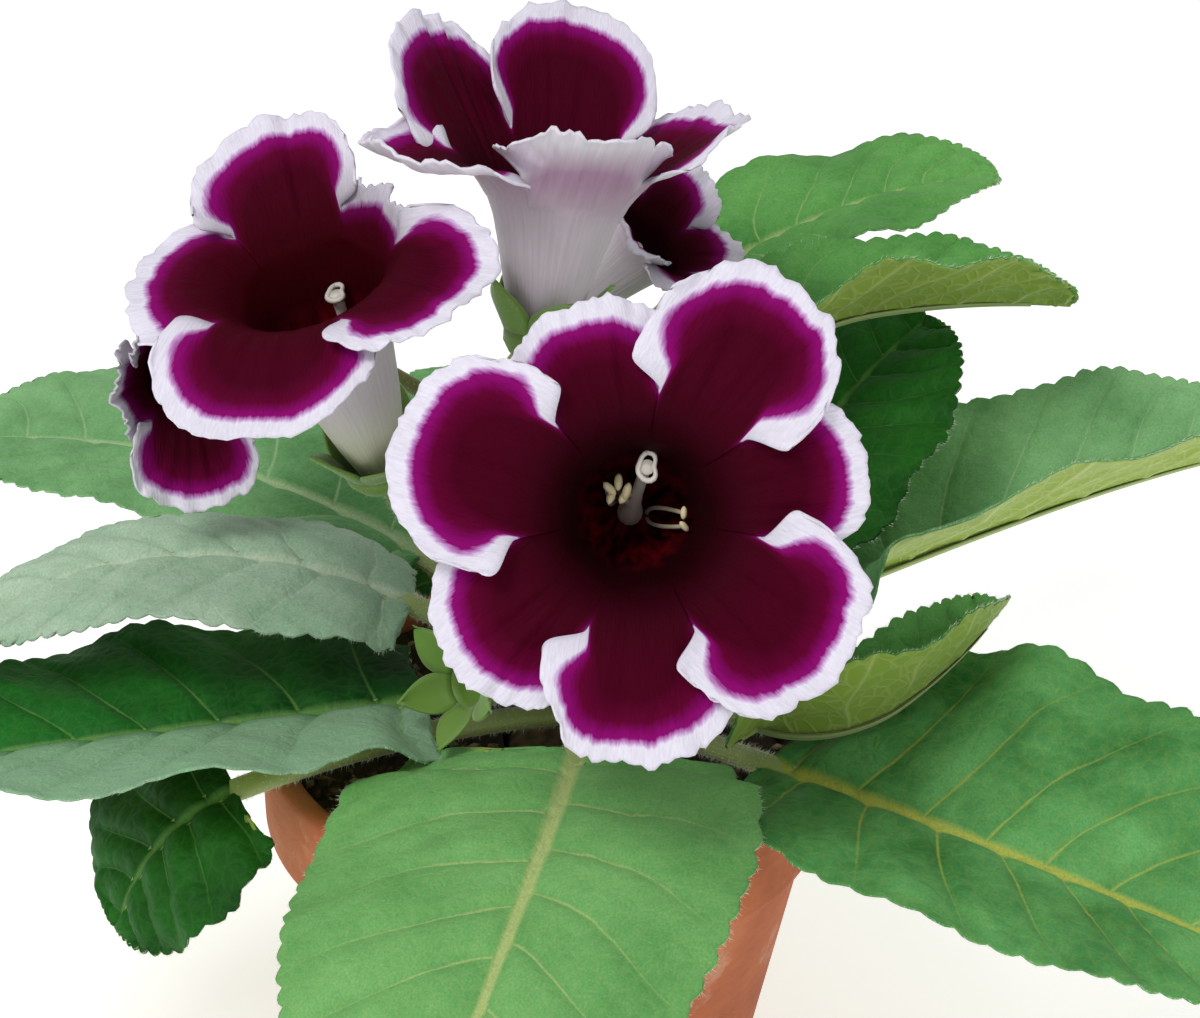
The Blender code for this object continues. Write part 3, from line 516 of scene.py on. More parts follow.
@dataclass(frozen=True)
class LeafUnderside(Finish):
    """Gloxinia leaf, lower side: paler and matt, with the veins standing proud."""

    blade: str
    vein: str

    CELL = 3.45  # mesh of the net of finest veins, mm

    def surface(self, add: Adder) -> Inputs:
        """What the shader gets.

        Args:
            add: adds a node to the material.

        Returns:
            Shader input to its value, or to the node that feeds it.
        """
        vein = add("Attribute", attribute_name="vein").outputs["Vector"]
        flat = add("Attribute", attribute_name="flat").outputs["Vector"]
        phase = add("SeparateXYZ", {0: vein})
        wrap = add("Math", {0: phase, 1: 0.5}, operation="PINGPONG")
        line = add("MapRange", {0: wrap, 1: 0.0, 2: 0.06, 3: 0.8, 4: 0.0})
        net = add("TexVoronoi", {"Vector": flat, "Scale": scale(self.CELL)}, feature="DISTANCE_TO_EDGE")
        net_line = add("MapRange", {0: net, 1: 0.0, 2: 0.12, 3: 0.4, 4: 0.0})
        lines = add("Math", {0: line, 1: net_line}, operation="MAXIMUM")
        colour = add("MixRGB", {0: lines, 1: self.blade, 2: self.vein})
        bump = add("Bump", {"Height": lines, "Distance": 0.5 * MM, "Strength": 0.6})
        return {
            "Base Color": colour, "Normal": bump, "Roughness": 0.6, "Specular IOR Level": 0.3,
            "Sheen Weight": 0.1,
        }


@dataclass(frozen=True)
class Stalk(Finish):
    """Green stalk, fleshy and matt under its hairs: the colour drifts along it."""

    low: str
    high: str

    BLOTCH = 5.56  # patches along the stalk, mm

    def surface(self, add: Adder) -> Inputs:
        """What the shader gets.

        Args:
            add: adds a node to the material.

        Returns:
            Shader input to its value, or to the node that feeds it.
        """
        along = add("Attribute", attribute_name="along").outputs["Vector"]
        share_along = add("SeparateXYZ", {0: along})
        place = add("TexCoord").outputs["Object"]
        blotch = add("TexNoise", {"Vector": place, "Scale": scale(self.BLOTCH), "Detail": 4.0})
        drift = add("Math", {0: blotch, 1: 0.5, 2: share_along}, operation="MULTIPLY_ADD")
        share = add("MapRange", {0: drift, 1: 0.15, 2: 1.25})
        colour = add("MixRGB", {0: share, 1: self.low, 2: self.high})
        bump = add("Bump", {"Height": blotch, "Distance": 0.4 * MM, "Strength": 0.4})
        return {
            "Base Color": colour, "Normal": bump, "Roughness": 0.5, "Sheen Weight": 0.35,
            "Subsurface Weight": 0.08, "Subsurface Radius": (0.002, 0.002, 0.001),
        }


@dataclass(frozen=True)
class PetalInside(Finish):
    """Corolla, inner face: dense purple velvet, feathered to a pale rim, and almost black in the throat."""

    rim: str = "#e9e4f2"
    blush: str = "#c48ccb"
    bright: str = "#8a0a6c"
    rich: str = "#5e022e"
    deep: str = "#46011a"
    throat: str = "#260309"
    # painted light: red light that comes through the tube's thin wall
    glow: str = "#8c0c1c"

    def surface(self, add: Adder) -> Inputs:
        """What the shader gets.

        Args:
            add: adds a node to the material.

        Returns:
            Shader input to its value, or to the node that feeds it.
        """
        petal = add("Attribute", attribute_name="petal").outputs["Vector"]
        edge, across, depth = add("SeparateXYZ", {0: petal}).outputs
        # Feathers are drawn-out spots about 0.6 mm wide and 3 mm long.
        streak = add("CombineXYZ", {0: across, 1: depth, 2: 0.0})
        stretch = add("VectorMath", {0: streak, 1: (1.6, 0.3, 1.0)}, operation="MULTIPLY")
        feather = add("TexNoise", {"Vector": stretch, "Scale": 1.0, "Detail": 3.0, "Roughness": 0.65})
        frayed = add("Math", {0: feather, 1: 1.5, 2: edge}, operation="MULTIPLY_ADD")
        level = add("MapRange", {0: frayed, 1: -0.4, 2: 15.6})
        ramp = add("ValToRGB", {0: level})
        set_ramp(
            ramp,
            (
                (0.02, self.rim), (0.07, self.blush), (0.12, self.bright), (0.16, self.bright),
                (0.32, self.rich), (0.6, self.deep),
            ),
        )
        # Towards and down the throat, mm from the ring of notches.
        dark = add(
            "MapRange", {0: depth, 1: -5.0, 2: 20.0, 3: 1.0, 4: 0.0}, interpolation_type="SMOOTHSTEP"
        )
        # Deep in the tube, patches of painted glow stand in for light coming through the thin wall.
        low = add("MapRange", {0: depth, 1: -30.0, 2: -10.0, 3: 1.0, 4: 0.0})
        patch = add("VectorMath", {0: streak, 1: (0.16, 0.09, 1.0)}, operation="MULTIPLY")
        patches = add("TexNoise", {"Vector": patch, "Scale": 1.0, "Detail": 2.0})
        patchy = add("MapRange", {0: patches, 1: 0.38, 2: 0.66})
        lit = add("Math", {0: low, 1: patchy}, operation="MULTIPLY")
        pit = add("MixRGB", {0: lit, 1: self.throat, 2: self.glow})
        sunk = add("MixRGB", {0: dark, 1: ramp, 2: pit})
        fine = add("VectorMath", {0: streak, 1: (2.2, 0.35, 1.0)}, operation="MULTIPLY")
        grain = add("TexNoise", {"Vector": fine, "Scale": 1.0, "Detail": 4.0, "Roughness": 0.6})
        tint = add("MapRange", {0: grain, 1: 0.3, 2: 0.7, 3: 0.9, 4: 1.06})
        colour = add("MixRGB", {0: 1.0, 1: sunk, 2: tint}, blend_type="MULTIPLY")
        bump = add("Bump", {"Height": grain, "Distance": 0.6 * MM, "Strength": 0.5})
        return {"Base Color": colour, "Normal": bump, "Roughness": 0.6, "Specular IOR Level": 0.03}


@dataclass(frozen=True)
class PetalOutside(Finish):
    """Corolla, outer face: thin waxy tissue, nearly white on the tube, faintly purple on the lobes."""

    rim: str = "#e6e0ea"
    body: str = "#b78fae"
    tube: str = "#cdc2cb"
    foot: str = "#d9dcb8"

    def surface(self, add: Adder) -> Inputs:
        """What the shader gets.

        Args:
            add: adds a node to the material.

        Returns:
            Shader input to its value, or to the node that feeds it.
        """
        petal = add("Attribute", attribute_name="petal").outputs["Vector"]
        edge, across, depth = add("SeparateXYZ", {0: petal}).outputs
        level = add("MapRange", {0: edge, 1: -2.0, 2: 6.0})
        lobe = add("MixRGB", {0: level, 1: self.rim, 2: self.body})
        onto = add(
            "MapRange", {0: depth, 1: -6.0, 2: 10.0, 3: 1.0, 4: 0.0}, interpolation_type="SMOOTHSTEP"
        )
        low = add("MapRange", {0: depth, 1: -42.0, 2: -24.0, 3: 1.0, 4: 0.0})
        pipe = add("MixRGB", {0: low, 1: self.tube, 2: self.foot})
        whole = add("MixRGB", {0: onto, 1: lobe, 2: pipe})
        streak = add("CombineXYZ", {0: across, 1: depth, 2: 0.0})
        stretch = add("VectorMath", {0: streak, 1: (0.9, 0.06, 1.0)}, operation="MULTIPLY")
        veins = add("TexNoise", {"Vector": stretch, "Scale": 1.0, "Detail": 4.0})
        tint = add("MapRange", {0: veins, 1: 0.3, 2: 0.7, 3: 0.9, 4: 1.05})
        colour = add("MixRGB", {0: 1.0, 1: whole, 2: tint}, blend_type="MULTIPLY")
        bump = add("Bump", {"Height": veins, "Distance": 0.6 * MM, "Strength": 0.4})
        return {
            "Base Color": colour, "Normal": bump, "Roughness": 0.5, "Subsurface Weight": 0.12,
            "Subsurface Radius": (0.003, 0.002, 0.002), "Sheen Weight": 0.2,
        }


@dataclass(frozen=True)
class Plain(Finish):
    """A small waxy or hairy surface whose colour only drifts a little."""

    colour: str
    drift: str
    roughness: float = 0.45
    grain: float = 1.2  # size of the drift's spots, mm
    relief: float = 0.2  # depth of the relief, mm

    def surface(self, add: Adder) -> Inputs:
        """What the shader gets.

        Args:
            add: adds a node to the material.

        Returns:
            Shader input to its value, or to the node that feeds it.
        """
        place = add("TexCoord").outputs["Object"]
        spots = add("TexNoise", {"Vector": place, "Scale": scale(self.grain), "Detail": 4.0})
        tone = add("MapRange", {0: spots, 1: 0.35, 2: 0.65})
        colour = add("MixRGB", {0: tone, 1: self.drift, 2: self.colour})
        bump = add("Bump", {"Height": spots, "Distance": self.relief * MM, "Strength": 0.7})
        return {"Base Color": colour, "Normal": bump, "Roughness": self.roughness}


@dataclass(frozen=True)
class Peat(Finish):
    """Potting soil: peat fibre, bark crumbs and a few pale grains, each crumb with a colour of its own."""

    name: str = "peat_and_bark"

    FIBRE = 2.38  # peat fibres and bark dust, mm

    def surface(self, add: Adder) -> Inputs:
        """What the shader gets.

        Args:
            add: adds a node to the material.

        Returns:
            Shader input to its value, or to the node that feeds it.
        """
        crumb = add("Attribute", attribute_name="crumb").outputs["Vector"]
        tint = add("SeparateXYZ", {0: crumb})
        place = add("TexCoord").outputs["Object"]
        spots = add(
            "TexNoise", {"Vector": place, "Scale": scale(self.FIBRE), "Detail": 6.0, "Roughness": 0.7}
        )
        mixed = add("Math", {0: spots, 1: 0.5, 2: tint}, operation="MULTIPLY_ADD")
        ramp = add("ValToRGB", {0: mixed})
        set_ramp(
            ramp,
            ((0.15, "#1d1612"), (0.4, "#3a2c22"), (0.6, "#5c4836"), (0.8, "#8a7660"), (1.0, "#b3a793")),
        )
        bump = add("Bump", {"Height": spots, "Distance": 1.0 * MM, "Strength": 0.9})
        return {"Base Color": ramp, "Normal": bump, "Roughness": 0.95}


@dataclass(frozen=True)
class FiredClay(Finish):
    """Terracotta: pressed and fired red clay, dull and open-pored, with chalky marks of dried water."""

    name: str = "fired_clay"

    CLOUD = 35.7  # drift of the firing's colour, mm
    CHALK = 16.7  # dried lime marks, mm
    PORE = 0.83  # open pores, mm: real ones are about 0.4 mm, too fine to show
    RING = 3.49  # distance between the marks of the turning mould, mm

    def surface(self, add: Adder) -> Inputs:
        """What the shader gets.

        Args:
            add: adds a node to the material.

        Returns:
            Shader input to its value, or to the node that feeds it.
        """
        place = add("TexCoord").outputs["Object"]
        cloud = add(
            "TexNoise", {"Vector": place, "Scale": scale(self.CLOUD), "Detail": 6.0, "Roughness": 0.6}
        )
        ramp = add("ValToRGB", {0: cloud})
        set_ramp(ramp, ((0.3, "#9c5234"), (0.5, "#b5653f"), (0.7, "#c27a54")))
        lime = add(
            "TexNoise", {"Vector": place, "Scale": scale(self.CHALK), "Detail": 8.0, "Roughness": 0.7}
        )
        chalk = add("MapRange", {0: lime, 1: 0.56, 2: 0.76, 3: 0.0, 4: 0.5})
        colour = add("MixRGB", {0: chalk, 1: ramp, 2: "#d9c3ae"})
        pores = add("TexNoise", {"Vector": place, "Scale": scale(self.PORE), "Detail": 3.0})
        rings = add(
            "TexWave", {"Vector": place, "Scale": scale(self.RING) * math.pi / 10, "Distortion": 1.5},
            bands_direction="Z",
        )
        height = add("Math", {0: rings.outputs["Fac"], 1: 0.25, 2: pores}, operation="MULTIPLY_ADD")
        bump = add("Bump", {"Height": height, "Distance": 0.4 * MM, "Strength": 0.5})
        return {"Base Color": colour, "Normal": bump, "Roughness": 0.9}


@dataclass(frozen=True)
class Painted(Finish):
    """Matt white paint that glows a little, so that the floor reads as pale as a sheet of paper."""

    def surface(self, add: Adder) -> Inputs:
        """What the shader gets.

        Args:
            add: adds a node to the material.

        Returns:
            Shader input to its value, or to the node that feeds it.
        """
        white = "#ffffff"
        return {
            "Base Color": "#f4f4f4", "Roughness": 0.9, "Emission Color": white, "Emission Strength": 0.5
        }


@dataclass
class Leaf:
    """One leaf, measured along its midrib from the crown. Lengths in mm, angles in degrees.

    Heading and rise are given at the crown, the blade's base, middle and tip. Pairs are left and right.
    """

    name: str
    light: Light
    heading: tuple[float, ...]
    height: float  # of the stalk's foot
    petiole: float  # length of the stalk
    length: float
    width: float
    rise: tuple[float, ...]
    roll: tuple[float, float] = (0.0, 0.0)  # about the midrib, at the base and at the tip
    fold: tuple[float, float] = (15.0, 15.0)  # how far each half is raised
    curl: tuple[float, float] = (-20.0, -20.0)  # how far each half bends further by the margin
    wave: tuple[float, float, float] = (2.0, 2.5, 0.0)  # the margin's wave: height, number, phase
    lobes: float = 6.0  # how far the base reaches back beside the stalk
    taper: float = 0.85  # under 1 the blade is broadest near its base
    share: tuple[float, float] = (1.0, 1.0)  # of the full half width
    pairs: int = 8  # of side veins
    teeth: int = 36
    tooth: float = 1.1
    seed: int = 1

    STEPS = 240
    ACROSS = (  # columns of points from the midrib to the margin, closest where the surface turns most
        0.0, 0.03, 0.065, 0.11, 0.17, 0.24, 0.31, 0.38, 0.45, 0.52, 0.59, 0.66, 0.73, 0.8, 0.86, 0.91, 0.95,
        0.98, 1.0,
    )
    ROWS_TO_A_TOOTH = 4
    SHEET = 0.7  # thickness of the blade
    PETIOLE_WIDTH, PETIOLE_DEPTH, PETIOLE_HEIGHT = 3.2, 2.6, 1.7
    RIB_WIDTH, RIB_DEPTH, RIB_HEIGHT = 2.4, 2.2, -0.9  # at its start; the top is under the blade
    VEIN_SWEEP = 0.22  # how far the side veins lean towards the tip, as a share of the length
    RIB_SUNK, VEIN_SUNK, QUILT, UNEVEN = 1.1, 0.75, 0.8, 0.5  # relief of the blade, mm
    VEIN_WIDTH, QUILT_WIDTH = 1.1, 4.0
    MAX_SLOPE = 6.0
    STALK_SIDES, PETIOLE_RINGS, RIB_RINGS = 16, 24, 26
    MARGIN_HAIRS, STALK_HAIRS = 4, 5  # to each stretch between two points

    def __post_init__(self) -> None:
        """Lays out the midrib's curve."""
        self.total = self.petiole + self.length
        s = np.linspace(0.0, self.total, self.STEPS)
        knots = (0.0, self.petiole, self.petiole + 0.5 * self.length, self.total)
        rise = np.radians(np.interp(s, knots, self.rise))
        heading = np.radians(np.interp(s, knots, self.heading))
        flat = np.cos(rise)
        self.tangents = np.stack([flat * np.cos(heading), flat * np.sin(heading), np.sin(rise)], axis=1)
        radius = CROWN_RADIUS + 0.3 + self.PETIOLE_DEPTH * max(0.0, math.sin(rise[0])) + 0.1
        start = radius * np.array([math.cos(heading[0]), math.sin(heading[0]), 0.0])
        start[2] = self.height
        middles = 0.5 * (self.tangents[1:] + self.tangents[:-1])
        self.points = np.vstack([start, start + np.cumsum(middles * (s[1] - s[0]), axis=0)])
        self.s = s

    def frame(self, s: Array) -> tuple[Array, Array, Array, Array]:
        """The midrib's point and its along, left and up directions.

        Args:
            s: arc lengths from the crown.

        Returns:
            Point, along, left and up at each.
        """
        inside = np.clip(s, 0.0, self.total)
        at = np.stack([np.interp(inside, self.s, self.points[:, k]) for k in range(3)], axis=-1)
        along = unit(np.stack([np.interp(inside, self.s, self.tangents[:, k]) for k in range(3)], axis=-1))
        at = at + along * (s - inside)[..., None]
        left = unit(np.stack([-along[..., 1], along[..., 0], np.zeros_like(s)], axis=-1))
        up = np.cross(along, left)
        u = np.clip((s - self.petiole) / self.length, 0.0, 1.0)
        roll = np.radians(self.roll[0] + (self.roll[1] - self.roll[0]) * u) * smooth(s / self.petiole)
        c, d = np.cos(roll)[..., None], np.sin(roll)[..., None]
        return at, along, c * left + d * up, c * up - d * left

    def place(self, s: Array, x: Array, lift_by: Array) -> Array:
        """Points of the blade's middle surface.

        Args:
            s: arc length along the midrib.
            x: distance to the left of the midrib.
            lift_by: relief added upwards.

        Returns:
            The points.
        """
        at, _, left, up = self.frame(s)
        u = np.clip((s - self.petiole) / self.length, 0.0, 1.0)
        reach = np.abs(x) / (0.5 * self.width)
        fold = np.radians(np.where(x > 0, self.fold[0], self.fold[1]) * smooth(u / 0.12 + 0.1))
        curl = np.radians(np.where(x > 0, self.curl[0], self.curl[1]))
        lift = fold + 0.5 * curl * reach
        height, waves, phase = self.wave
        ripple = height * np.sin(2 * math.pi * waves * u + math.radians(phase) + 0.7 * np.sign(x))
        ripple = ripple * np.minimum(reach, 1.3) ** 2.2 * smooth(u / 0.15)
        flat = (x * np.cos(lift))[..., None] * left
        return at + flat + (np.abs(x) * np.sin(lift) + ripple + lift_by)[..., None] * up

    def half_width(self, u: Array, side: Array) -> Array:
        """Half width of the smooth outline.

        Args:
            u: share of the blade's length.
            side: its sign picks the left or the right side.

        Returns:
            Lengths in mm.
        """
        round_off = (1.0 - np.abs(2.0 * u**self.taper - 1.0) ** 2.2) ** (1 / 2.2)
        share = np.where(side > 0, self.share[0], self.share[1])
        return self.PETIOLE_WIDTH * (1.0 - u) + 0.5 * self.width * share * round_off

    def blade(self) -> Shape:
        """The blade's middle surface, with sunk veins, quilting between them and a scalloped margin.

        Returns:
            The surface. "vein" holds number of the vein, share across and distance from the midrib in its
            widths, and "flat" the place on the flat sheet in metres.
        """
        rows = self.ROWS_TO_A_TOOTH * self.teeth + 1
        tau = np.linspace(0.0, 1.0, rows)
        share = np.concatenate([-np.array(self.ACROSS[:0:-1]), self.ACROSS])
        t, a = np.meshgrid(self.stations(tau), share, indexing="ij")
        tau_grid = np.repeat(tau[:, None], len(share), axis=1)
        side = np.where(a < 0, -1.0, 1.0)
        # Rows follow the side veins, which sweep towards the tip as they near the margin.
        u = np.clip(t + 4 * self.VEIN_SWEEP * t * (1 - t) * np.abs(a) ** 1.1, 0.0, 1.0)
        half = self.half_width(u, side)
        back = self.lobes * np.abs(a) ** 1.4 * (1.0 - u) ** 4 * smooth(u / 0.06)
        tooth = self.tooth * (1.0 + 0.3 * ripple_noise(tau_grid * 20 + side, self.seed))
        scallop = tooth * (np.abs(np.sin(math.pi * self.teeth * tau_grid)) - 0.35)
        scallop = scallop * smooth((np.abs(a) - 0.8) / 0.2) * smooth(tau_grid / 0.04)
        slope = np.gradient(self.half_width(u[:, -1], np.ones(rows)), u[:, -1] * self.length + 1e-6 * tau)
        steep = np.clip(np.nan_to_num(slope), -self.MAX_SLOPE, self.MAX_SLOPE)[:, None]
        lean = steep / np.hypot(1.0, steep)
        x = a * half + side * scallop * np.sqrt(1 - lean**2)
        s = self.petiole + u * self.length - back - scallop * lean
        drift = 0.16 * ripple_noise(1.6 * a + 0.4 * self.pairs * t, self.seed + 30, 1)
        phase = t * self.pairs + 0.5 + 0.14 * side + drift
        off = np.abs((phase + 0.5) % 1.0 - 0.5) * self.length / self.pairs
        rib = (0.8 + self.width / 62) * (1 - 0.72 * u)
        inside = smooth((1.0 - np.abs(a)) / 0.25)
        relief = -self.RIB_SUNK * np.exp(-((x / rib) ** 2)) * (1 - 0.6 * u)
        relief -= self.VEIN_SUNK * np.exp(-((off / self.VEIN_WIDTH) ** 2)) * inside * smooth(np.abs(a) / 0.05)
        relief += self.QUILT * np.minimum(off / self.QUILT_WIDTH, 1.0) * inside * smooth(np.abs(a) / 0.1)
        relief += self.UNEVEN * ripple_noise(s / 14 + 3 * a, self.seed + 5) * smooth(np.abs(a) / 0.3)
        points = self.place(s, x, relief)
        values = {
            "vein": np.stack([phase, a, np.abs(x) / rib], axis=-1).reshape(-1, 3),
            "flat": np.stack([s * MM, x * MM, 0 * s + 0.01 * self.seed], axis=-1).reshape(-1, 3),
        }
        return Shape(points.reshape(-1, 3), quads(rows, len(share)), values)

    def stations(self, tau: Array) -> Array:
        """Where the rows of points lie along the midrib.

        Args:
            tau: shares of the margin's length.

        Returns:
            Shares of the blade's length.
        """
        u = np.linspace(0.0, 1.0, self.STEPS)
        w = self.half_width(u, np.ones_like(u))
        arc = np.concatenate([[0.0], np.cumsum(np.hypot(np.diff(u * self.length), np.diff(w)))])
        return np.interp(tau * arc[-1], arc, u)

    def stalk(self) -> Shape:
        """The leaf's stalk, which runs on as the raised midrib under the blade.

        Returns:
            One closed tube.
        """
        under = self.petiole + self.length * np.linspace(0.03, 0.9, self.RIB_RINGS)
        s = np.concatenate([np.linspace(0, self.petiole, self.PETIOLE_RINGS), under])
        at, _, left, up = self.frame(s)
        u = np.clip((s - self.petiole) / self.length, 0.0, 1.0)
        narrowed, tapered = 1 - 0.15 * smooth(s / self.petiole), 1 - 0.8 * u
        wide = np.where(u > 0, self.RIB_WIDTH * tapered, self.PETIOLE_WIDTH * narrowed)
        low = np.where(u > 0, self.RIB_DEPTH * tapered + 0.6, self.PETIOLE_DEPTH)
        high = np.where(u > 0, self.RIB_HEIGHT, self.PETIOLE_HEIGHT)
        angles = circle(self.STALK_SIDES)
        rise = np.sin(angles)[None]
        heights = np.where(rise > 0, rise * high[:, None], rise * low[:, None])
        profile = np.stack([np.cos(angles)[None] * wide[:, None], heights], axis=-1)
        return swept(at, left, up, profile)

    def hairs(self, blade: Shape, stalk: Shape) -> Shape:
        """Hairs along the margin and over the stalk.

        Args:
            blade: the blade's middle surface.
            stalk: the stalk.

        Returns:
            The hairs.
        """
        rng = np.random.default_rng(self.seed + 100)
        columns = 2 * len(self.ACROSS) - 1
        grid = blade.points.reshape(-1, columns, 3)
        roots, out = [], []
        for edge, inner in ((0, 1), (columns - 1, columns - 2)):
            line, way = grid[3:, edge], unit(grid[3:, edge] - grid[3:, inner])
            for _ in range(self.MARGIN_HAIRS):
                mix = rng.uniform(0, 1, (len(line) - 1, 1))
                roots.append(line[:-1] * (1 - mix) + line[1:] * mix)
                out.append(way[:-1])
        size = (self.PETIOLE_RINGS, self.STALK_SIDES)
        rings = stalk.points[: size[0] * size[1]].reshape(*size, 3)
        middle = rings.mean(axis=1, keepdims=True)
        for _ in range(self.STALK_HAIRS):
            mix = rng.uniform(0, 1, (size[0] - 1, size[1], 1))
            at = rings[:-1] * (1 - mix) + rings[1:] * mix
            roots.append(at.reshape(-1, 3))
            out.append((at - middle[:-1]).reshape(-1, 3))
        return Hairs(width=0.09).over(np.vstack(roots), unit(np.vstack(out)), self.seed)

    def build(self, finishes: dict[str, bpy.types.Material]) -> list[bpy.types.Object]:
        """Makes the leaf's pieces and puts them in place of its solid.

        Args:
            finishes: "top", "under", "stalk" and "hair".

        Returns:
            The new objects.
        """
        blade, stalk = self.blade(), self.stalk()
        sheet = blade.made(self.name + "_blade", [finishes["top"], finishes["under"]])
        thicken(sheet, self.SHEET, 1)
        bar = stalk.made(self.name + "_stalk", [finishes["stalk"]])
        fuzz = self.hairs(blade, stalk).made(self.name + "_hairs", [finishes["hair"]])
        return stand_in([(piece, self.name, "leaf") for piece in (sheet, bar, fuzz)])


@dataclass(frozen=True)
class Lobe:
    """One corolla lobe. Angles in degrees, lengths in mm."""

    angle: float  # around the axis, from the bloom's right
    reach: float
    opening: float  # lean away from the axis
    curl: float = 0.0  # further lean of the margin
    over: tuple[float, float] = (0, 0)  # each side is over its neighbour (1) or under it (-1)
    spread: float = 12.0  # how far the free sides stand out
    cup: float = 0.0


@dataclass
class Bloom:
    """One flower with its stalk and calyx. Lengths in mm, angles in degrees."""

    name: str
    mouth: tuple[float, float, float]
    faces: tuple[float, float]  # azimuth and elevation of the axis
    tube: float
    ring: float  # radius of the tube's mouth
    lobes: tuple[Lobe, ...]
    foot: float  # where the stalk stands around the crown
    ruffle: float = 1.0
    pull: tuple[float, float] = (0.5, 0.5)  # how far the stalk runs on straight at its two ends
    sepal: tuple[float, float] = (13.0, 30.0)  # length and lean
    band: float = 4.2  # width of the pale rim
    lit: bool = False  # the throat gets a brighter painted glow, for light that comes through the tube's wall
    seed: int = 1

    STEPS = 160
    LONGEST = 60.0  # reach that a lobe's section is laid out for
    TUBE = ((0.0, 0.30), (0.18, 0.46), (0.42, 0.62), (0.68, 0.76), (0.88, 0.885), (1.0, 1.0))  # place, radius
    COLUMNS, LOBE_ROWS, TUBE_ROWS = 48, 34, 26
    NOTCH = 0.62  # share of a lobe that is joined to its neighbours
    FLARE = 33.0  # how far the tube leans out where the lobes start, degrees
    PETAL, SEPAL = 0.55, 0.6  # thicknesses
    NICK, FRILL, CREASE, LAP = 1.0, 0.9, 0.7, 2.4  # uneven margin, frill, folds, and lift where lobes overlap
    STEM_RADIUS, STEM_SIDES, STEM_STEPS = 2.0, 16, 40
    STEM_FEET = 5.2  # distance of the stalk's foot from the crown's axis
    SEAT = 0.7  # gap between the tube's foot and the cup
    CUP_SIDES, CUP_RIM, CUP_DEPTH = 40, 3.0, 4.5
    SEPALS, SEPAL_ROWS, SEPAL_COLUMNS = 5, 10, 7
    PISTIL = (  # share of the length and radius: ovary, style and the swelling under the stigma
        (0.0, 0.08, 0.16, 0.3, 0.45, 0.8, 0.93, 1.0), (1.4, 2.1, 2.0, 1.3, 1.0, 0.85, 0.95, 1.2),
    )
    PISTIL_STEPS, STIGMA_STEPS = 36, 20

    def __post_init__(self) -> None:
        """Sets up the bloom's directions and its lobes' shares of the circle."""
        azimuth, elevation = (math.radians(k) for k in self.faces)
        flat = math.cos(elevation)
        self.axis = np.array([flat * math.cos(azimuth), flat * math.sin(azimuth), math.sin(elevation)])
        back = np.array([0.0, 1.0, 0.0])
        self.up = unit(back - back @ self.axis * self.axis)
        self.right = np.cross(self.up, self.axis)
        self.centre = np.array(self.mouth, dtype=float)
        angles = [lobe.angle for lobe in self.lobes]
        self.order = sorted(range(len(angles)), key=lambda k: angles[k] % 360)
        self.shares, self.beside = {}, {}
        for place, k in enumerate(self.order):
            before, after = self.order[place - 1], self.order[(place + 1) % len(angles)]
            self.beside[k] = (before, after)
            back, ahead = (angles[k] - angles[before]) % 360, (angles[after] - angles[k]) % 360
            self.shares[k] = (back / 2, ahead / 2)

    def world(self, r: Array, angle: Array, z: Array) -> Array:
        """Points from a radius, an angle in radians and a distance along the axis."""
        side = (r * np.cos(angle))[..., None] * self.right + (r * np.sin(angle))[..., None] * self.up
        return self.centre + side + z[..., None] * self.axis

    def tube_at(self, share: Array, angle: Array) -> Array:
        """Points of the tube's middle surface.

        Args:
            share: 0 at the tube's foot, 1 at the ring of notches.
            angle: around the axis, radians.

        Returns:
            The points.
        """
        at, radius = zip(*self.TUBE)
        fine = np.linspace(0, 1, 60)
        kernel = np.hanning(9) / np.hanning(9).sum()
        line = np.interp(fine, at, radius)
        beyond = line[-1] + np.arange(1, 5) * (line[-1] - line[-2])
        padded = np.concatenate([np.full(4, line[0]), line, beyond])
        r = self.ring * np.interp(share, fine, np.convolve(padded, kernel, "valid"))
        fluted = 1.0 + 0.02 * np.cos(angle * len(self.lobes)) * smooth(share)
        return self.world(r * fluted, angle, (share - 1.0) * self.tube)

    def lobe_at(self, k: int, t: Array, a: Array) -> Array:
        """Points of a lobe's middle surface.

        Args:
            k: which lobe.
            t: 0 at the ring of notches, 1 at the margin.
            a: -1 to 1 across.

        Returns:
            The points.
        """
        lobe = self.lobes[k]
        reach = self.reach_at(k, a)
        nick = ripple_noise(a * 3.0 + k, self.seed + k, 2)
        nick = nick + 0.5 * ripple_noise(a * 12 + k, self.seed + 40 + k, 2)
        along = t * (reach + self.NICK * nick * t**3)
        own, before, after = self.profile(k, along), *(self.profile(n, along) for n in self.beside[k])
        joint = 0.5 * np.abs(a) ** 3
        r, z, tilt = (o + joint * (np.where(a < 0, c, d) - o) for o, c, d in zip(own, before, after))
        back, ahead = self.shares[k]
        angle = np.radians(lobe.angle + a * (np.where(a < 0, back, ahead) + lobe.spread * self.swell(t)))
        over = np.where(a < 0, lobe.over[0], lobe.over[1])
        edge = smooth((np.abs(a) - 0.35) / 0.65)
        lift = over * self.LAP * smooth((t - self.NOTCH + 0.1) / 0.4) * edge
        lift = lift + lobe.cup * a**2 * smooth(t / 0.6)
        near = np.maximum(t, np.abs(a) * smooth((t - 0.4) / 0.4)) ** 4
        lift = lift + self.ruffle * np.sin(2.5 * math.pi * a + 1.3 * k) * near * (1 - edge * (t < self.NOTCH))
        frill = ripple_noise(a * 5.5 + 2 * k, self.seed + 70 + k) * near * smooth((t - 0.6) / 0.4)
        crease = ripple_noise(a * 4.0 + k, self.seed + 90 + k, 2) * smooth(t / 0.5) * (1 - np.abs(a))
        lift = lift + self.FRILL * frill + self.CREASE * crease
        return self.world(r - lift * np.cos(tilt), angle, z + lift * np.sin(tilt))

